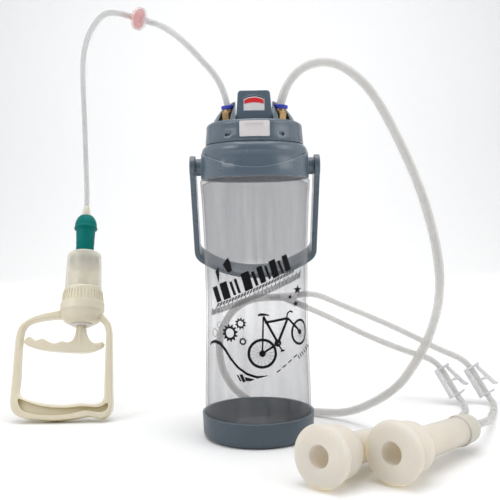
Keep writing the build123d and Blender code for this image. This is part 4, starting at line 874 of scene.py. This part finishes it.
# scale of ticks below the row, every third one longer
ticks = []
for k in range(64):
    along = k / 63
    length = 5.4065 if k % 3 else 6.9966
    ticks.append(stamp(-43.29 + along * 83.25, 119.7186 + along * 34.0289, (0, 0),
                       (0.7326, 0.3180), (1.3986, length + 0.3180), (0.666, length)))
ink("print_ticks", ticks, "ink_grey")

ink("print_stars", [star(37.962, 143.2526, radius=4.3, turn=0.1),
                    star(30.636, 137.2101, radius=2.5, turn=0.3),
                    star(35.964, 130.5315, radius=3.1, turn=-0.1)])

# three gears and two thin rings
gears = []
# centre x, z, root radius, teeth, tooth depth, hole radius
for x, z, radius, teeth, depth, hole in ((-25.641, 105.4074, 6.3, 12, 1.9, 4.3),
                                         (-15.651, 114.4712, 4.0, 10, 1.4, 2.6),
                                         (-13.653, 98.2518, 2.9, 9, 0.7, 1.7)):
    gears.append((gear(at(x, z), radius, teeth, depth), [circle(at(x, z), hole)]))
for x, z, outer, inner in ((-35.7975, 112.0860, 2.8, 2.45), (-39.96, 104.1353, 3.8, 3.45)):
    gears.append((circle(at(x, z), outer), [circle(at(x, z), inner)]))
ink("print_gears", gears)

# plain bicycle, no rider
REAR_HUB, FRONT_HUB = at(3.996, 87.2798), at(39.627, 103.8172)
REAR_R, FRONT_WHEEL_R = 13.6, 12.2
CRANK, SEAT, HEAD = at(18.315, 96.1846), at(5.328, 120.8317), at(27.972, 118.1285)
ink("print_bicycle_wheels", [
    (circle(REAR_HUB, REAR_R, 64), [circle(REAR_HUB, REAR_R - 2.5, 64)]),
    (circle(FRONT_HUB, FRONT_WHEEL_R, 64), [circle(FRONT_HUB, FRONT_WHEEL_R - 2.3, 64)]),
    (circle(REAR_HUB, 3.0, 24), []),
    (circle(FRONT_HUB, 2.6, 24), [])])
# start, end, width
FRAME_TUBES = [(REAR_HUB, CRANK, 1.9), (CRANK, SEAT, 2.3), (SEAT, REAR_HUB, 1.5),
               (CRANK, HEAD, 2.5), ((SEAT[0] + 1.2, SEAT[1] - 5.5), HEAD, 2.3),
               (HEAD, FRONT_HUB, 2.1)]
# pieces that overlap are lifted by different amounts
LIFT_STEP = 0.012
for k, (start, end, width) in enumerate(FRAME_TUBES):
    ink(f"print_bicycle_tube_{k}", [(bar(start, end, width), [])], lift=0.06 + LIFT_STEP * k)


def near(point, *offsets):
    return [(point[0] + du, point[1] + dz) for du, dz in offsets]


saddle = ribbon(near(SEAT, (-5, 1.2), (-2, 1.9), (2, 1.6), (5.5, 0.8)), [1.6, 2.6, 1.8, 0.9])
handlebar = ribbon(near(HEAD, (-1, 0), (-0.2, 4.5), (3.0, 6.2), (6.0, 5.0)),
                   [1.6, 1.5, 1.5, 1.5])
crank_arm = bar(*near(CRANK, (0, -1), (4.5, -7.5)), 1.3)
pedal = bar(*near(CRANK, (2.6, -7.6), (6.6, -7.2)), 1.5)
bicycle_parts = [(saddle, []), (handlebar, []), (circle(CRANK, 3.4, 30), [circle(CRANK, 1.4, 20)]),
                 (crank_arm, []), (pedal, [])]
for k, shape in enumerate(bicycle_parts):
    ink(f"print_bicycle_part_{k}", [shape], lift=0.13 + LIFT_STEP * k)

spokes = []
for hub, rim in ((REAR_HUB, REAR_R - 2.6), (FRONT_HUB, FRONT_WHEEL_R - 2.4)):
    for k in range(18):
        angle = 2 * math.pi * (k + 0.25) / 18
        ends = [(reach * math.cos(angle), reach * math.sin(angle)) for reach in (3.05, rim + 0.05)]
        spokes.append((bar(*near(hub, *ends), 0.26), []))
ink("print_spokes", spokes, "ink_grey", thick=0.1)

# sweeping stroke under the bicycle: x, z, width
SWEEP = [(-44.955, 91.0962, 0.6), (-43.29, 94.2764, 2.2), (-39.627, 96.1846, 3.2),
         (-34.632, 94.9125, 3.2), (-29.97, 89.8240, 2.6), (-24.975, 82.1914, 2.3),
         (-18.315, 74.5587, 2.1), (-9.99, 68.8343, 2.1), (-0.8325, 65.9720, 2.3),
         (8.325, 67.2441, 0.5)]
ink("print_sweep", [(ribbon([at(x, z) for x, z, _ in SWEEP], [w for _, _, w in SWEEP]), [])])

dashes = [
    stamp(0, 0, (-19.647, 67.5621), (-18.315, 67.8802), (-14.985, 62.4737), (-16.317, 61.8377)),
    stamp(0, 0, (-16.983, 68.1982), (-14.319, 68.5162), (-11.322, 61.8377), (-13.986, 61.2016)),
    stamp(0, 0, (-12.321, 65.9720), (-3.33, 64.3819), (-6.66, 62.4737), (-11.322, 62.4737))]
for k in range(6):
    dashes.append(stamp(36.63 + k * 1.998, 82.1914 + k * 1.43112, (0, 0), (0.666, 0.3180),
                        (2.331, -3.1803), (1.665, -3.4983)))
for k in range(4):
    dashes.append(stamp(16.65 + k * 5.328, 70.1064 + k * 3.81633, (0, 0), (3.33, 2.2262),
                        (3.663, 1.2721), (0.333, -0.9541)))
ink("print_dashes", dashes)

# two small kites above the row of bars
ink("print_kites", [
    stamp(0, 0, (-26.307, 174.4193), (-23.976, 169.3309), (-22.644, 162.6523),
          (-26.307, 160.4261), (-28.971, 164.2424), (-31.302, 167.7407)),
    stamp(0, 0, (-35.631, 165.8326), (-34.632, 159.1540), (-35.631, 150.8853),
          (-37.296, 156.9278), (-38.628, 161.0621))])


# ---------------------------------------------------------------------------
# floor, light, camera (metres)
# ---------------------------------------------------------------------------
def studio_floor(half_width=5.0, front=-3.0, bend_start=2.2, bend_r=1.0, top=4.5, drop=0.0002):
    """Floor that curves up into a backdrop, set a hair below the product."""
    mat = plastic("floor_pale", (0.86, 0.86, 0.86), rough=0.75, drift=0.004, grain=40.0, bump=0.0)
    profile = [(front, 0.0), (bend_start, 0.0)]
    for k in range(1, 13):
        angle = math.pi / 2 * k / 12
        profile.append((bend_start + bend_r * math.sin(angle),
                        bend_r - bend_r * math.cos(angle)))
    profile.append((bend_start + bend_r, top))
    verts, faces = [], []
    for i, (y, z) in enumerate(profile):
        verts += [(-half_width, y, z - drop), (half_width, y, z - drop)]
        if i:
            faces.append((2 * i - 2, 2 * i - 1, 2 * i + 1, 2 * i))
    add_mesh("studio_floor", verts, faces, mat)


def studio_world():
    """White surroundings, darker towards -Y except where the camera sees them."""
    world = bpy.data.worlds.new("studio")
    scene.world = world
    world.use_nodes = True
    tree = world.node_tree
    background = tree.nodes["Background"]
    background.inputs["Strength"].default_value = 0.9
    direction = node(tree, "TexCoord", out="Generated")
    depth = node(tree, "SeparateXYZ", {"Vector": direction}, out="Y")
    backness = remap(tree, depth, to=(0.0, 1.0), span=(-0.95, 0.10),
                     interpolation_type="SMOOTHSTEP")
    seen = node(tree, "LightPath", out="Is Camera Ray")
    lit = mix_colour(tree, backness, (0.30, 0.31, 0.33), (1.0, 1.0, 1.0))
    tree.links.new(mix_colour(tree, seen, lit, (1.05, 1.05, 1.05)), background.inputs["Color"])


def area(name, place, target, size, power):
    light = bpy.data.lights.new(name, "AREA")
    light.shape = "RECTANGLE"
    light.size = light.size_y = size
    light.energy = power
    obj = bpy.data.objects.new(name, light)
    scene.collection.objects.link(obj)
    obj.location = place
    aim = Vector(target) - Vector(place)
    obj.rotation_euler = aim.to_track_quat("-Z", "Y").to_euler()


def camera():
    """Looks along +Y, pitched slightly down and rolled a little."""
    data = bpy.data.cameras.new("camera")
    obj = bpy.data.objects.new("camera", data)
    scene.collection.objects.link(obj)
    data.sensor_width = 36.0
    data.lens = 50.976
    data.clip_start = 0.01
    pitch, roll = math.radians(1.779805), math.radians(0.9)
    forward = Vector((0, math.cos(pitch), -math.sin(pitch)))
    level = Vector((1, 0, 0))
    upright = Vector((0, math.sin(pitch), math.cos(pitch)))
    right = level * math.cos(roll) - upright * math.sin(roll)
    up = level * math.sin(roll) + upright * math.cos(roll)
    turn = Matrix((right, up, -forward)).transposed()
    place = Vector((-5.8, -686.8, 201.0)) * MM
    obj.matrix_world = Matrix.Translation(place) @ turn.to_4x4()
    scene.camera = obj


studio_floor()
studio_world()
area("key_left", place=(-1.6, -1.0, 1.3), target=(0, 0, 0.2), size=1.1, power=12)
area("fill_right", place=(1.7, -0.7, 1.0), target=(0, 0, 0.2), size=1.3, power=12)
area("top", place=(0, 0.0, 2.2), target=(0, 0, 0.1), size=1.8, power=26)
area("back_wash", place=(0, 0.9, 1.6), target=(0, 3.0, 1.0), size=2.4, power=30)
camera()
scene.view_settings.view_transform = "Standard"
scene.cycles.transparent_max_bounces = 24
scene.cycles.max_bounces = 10
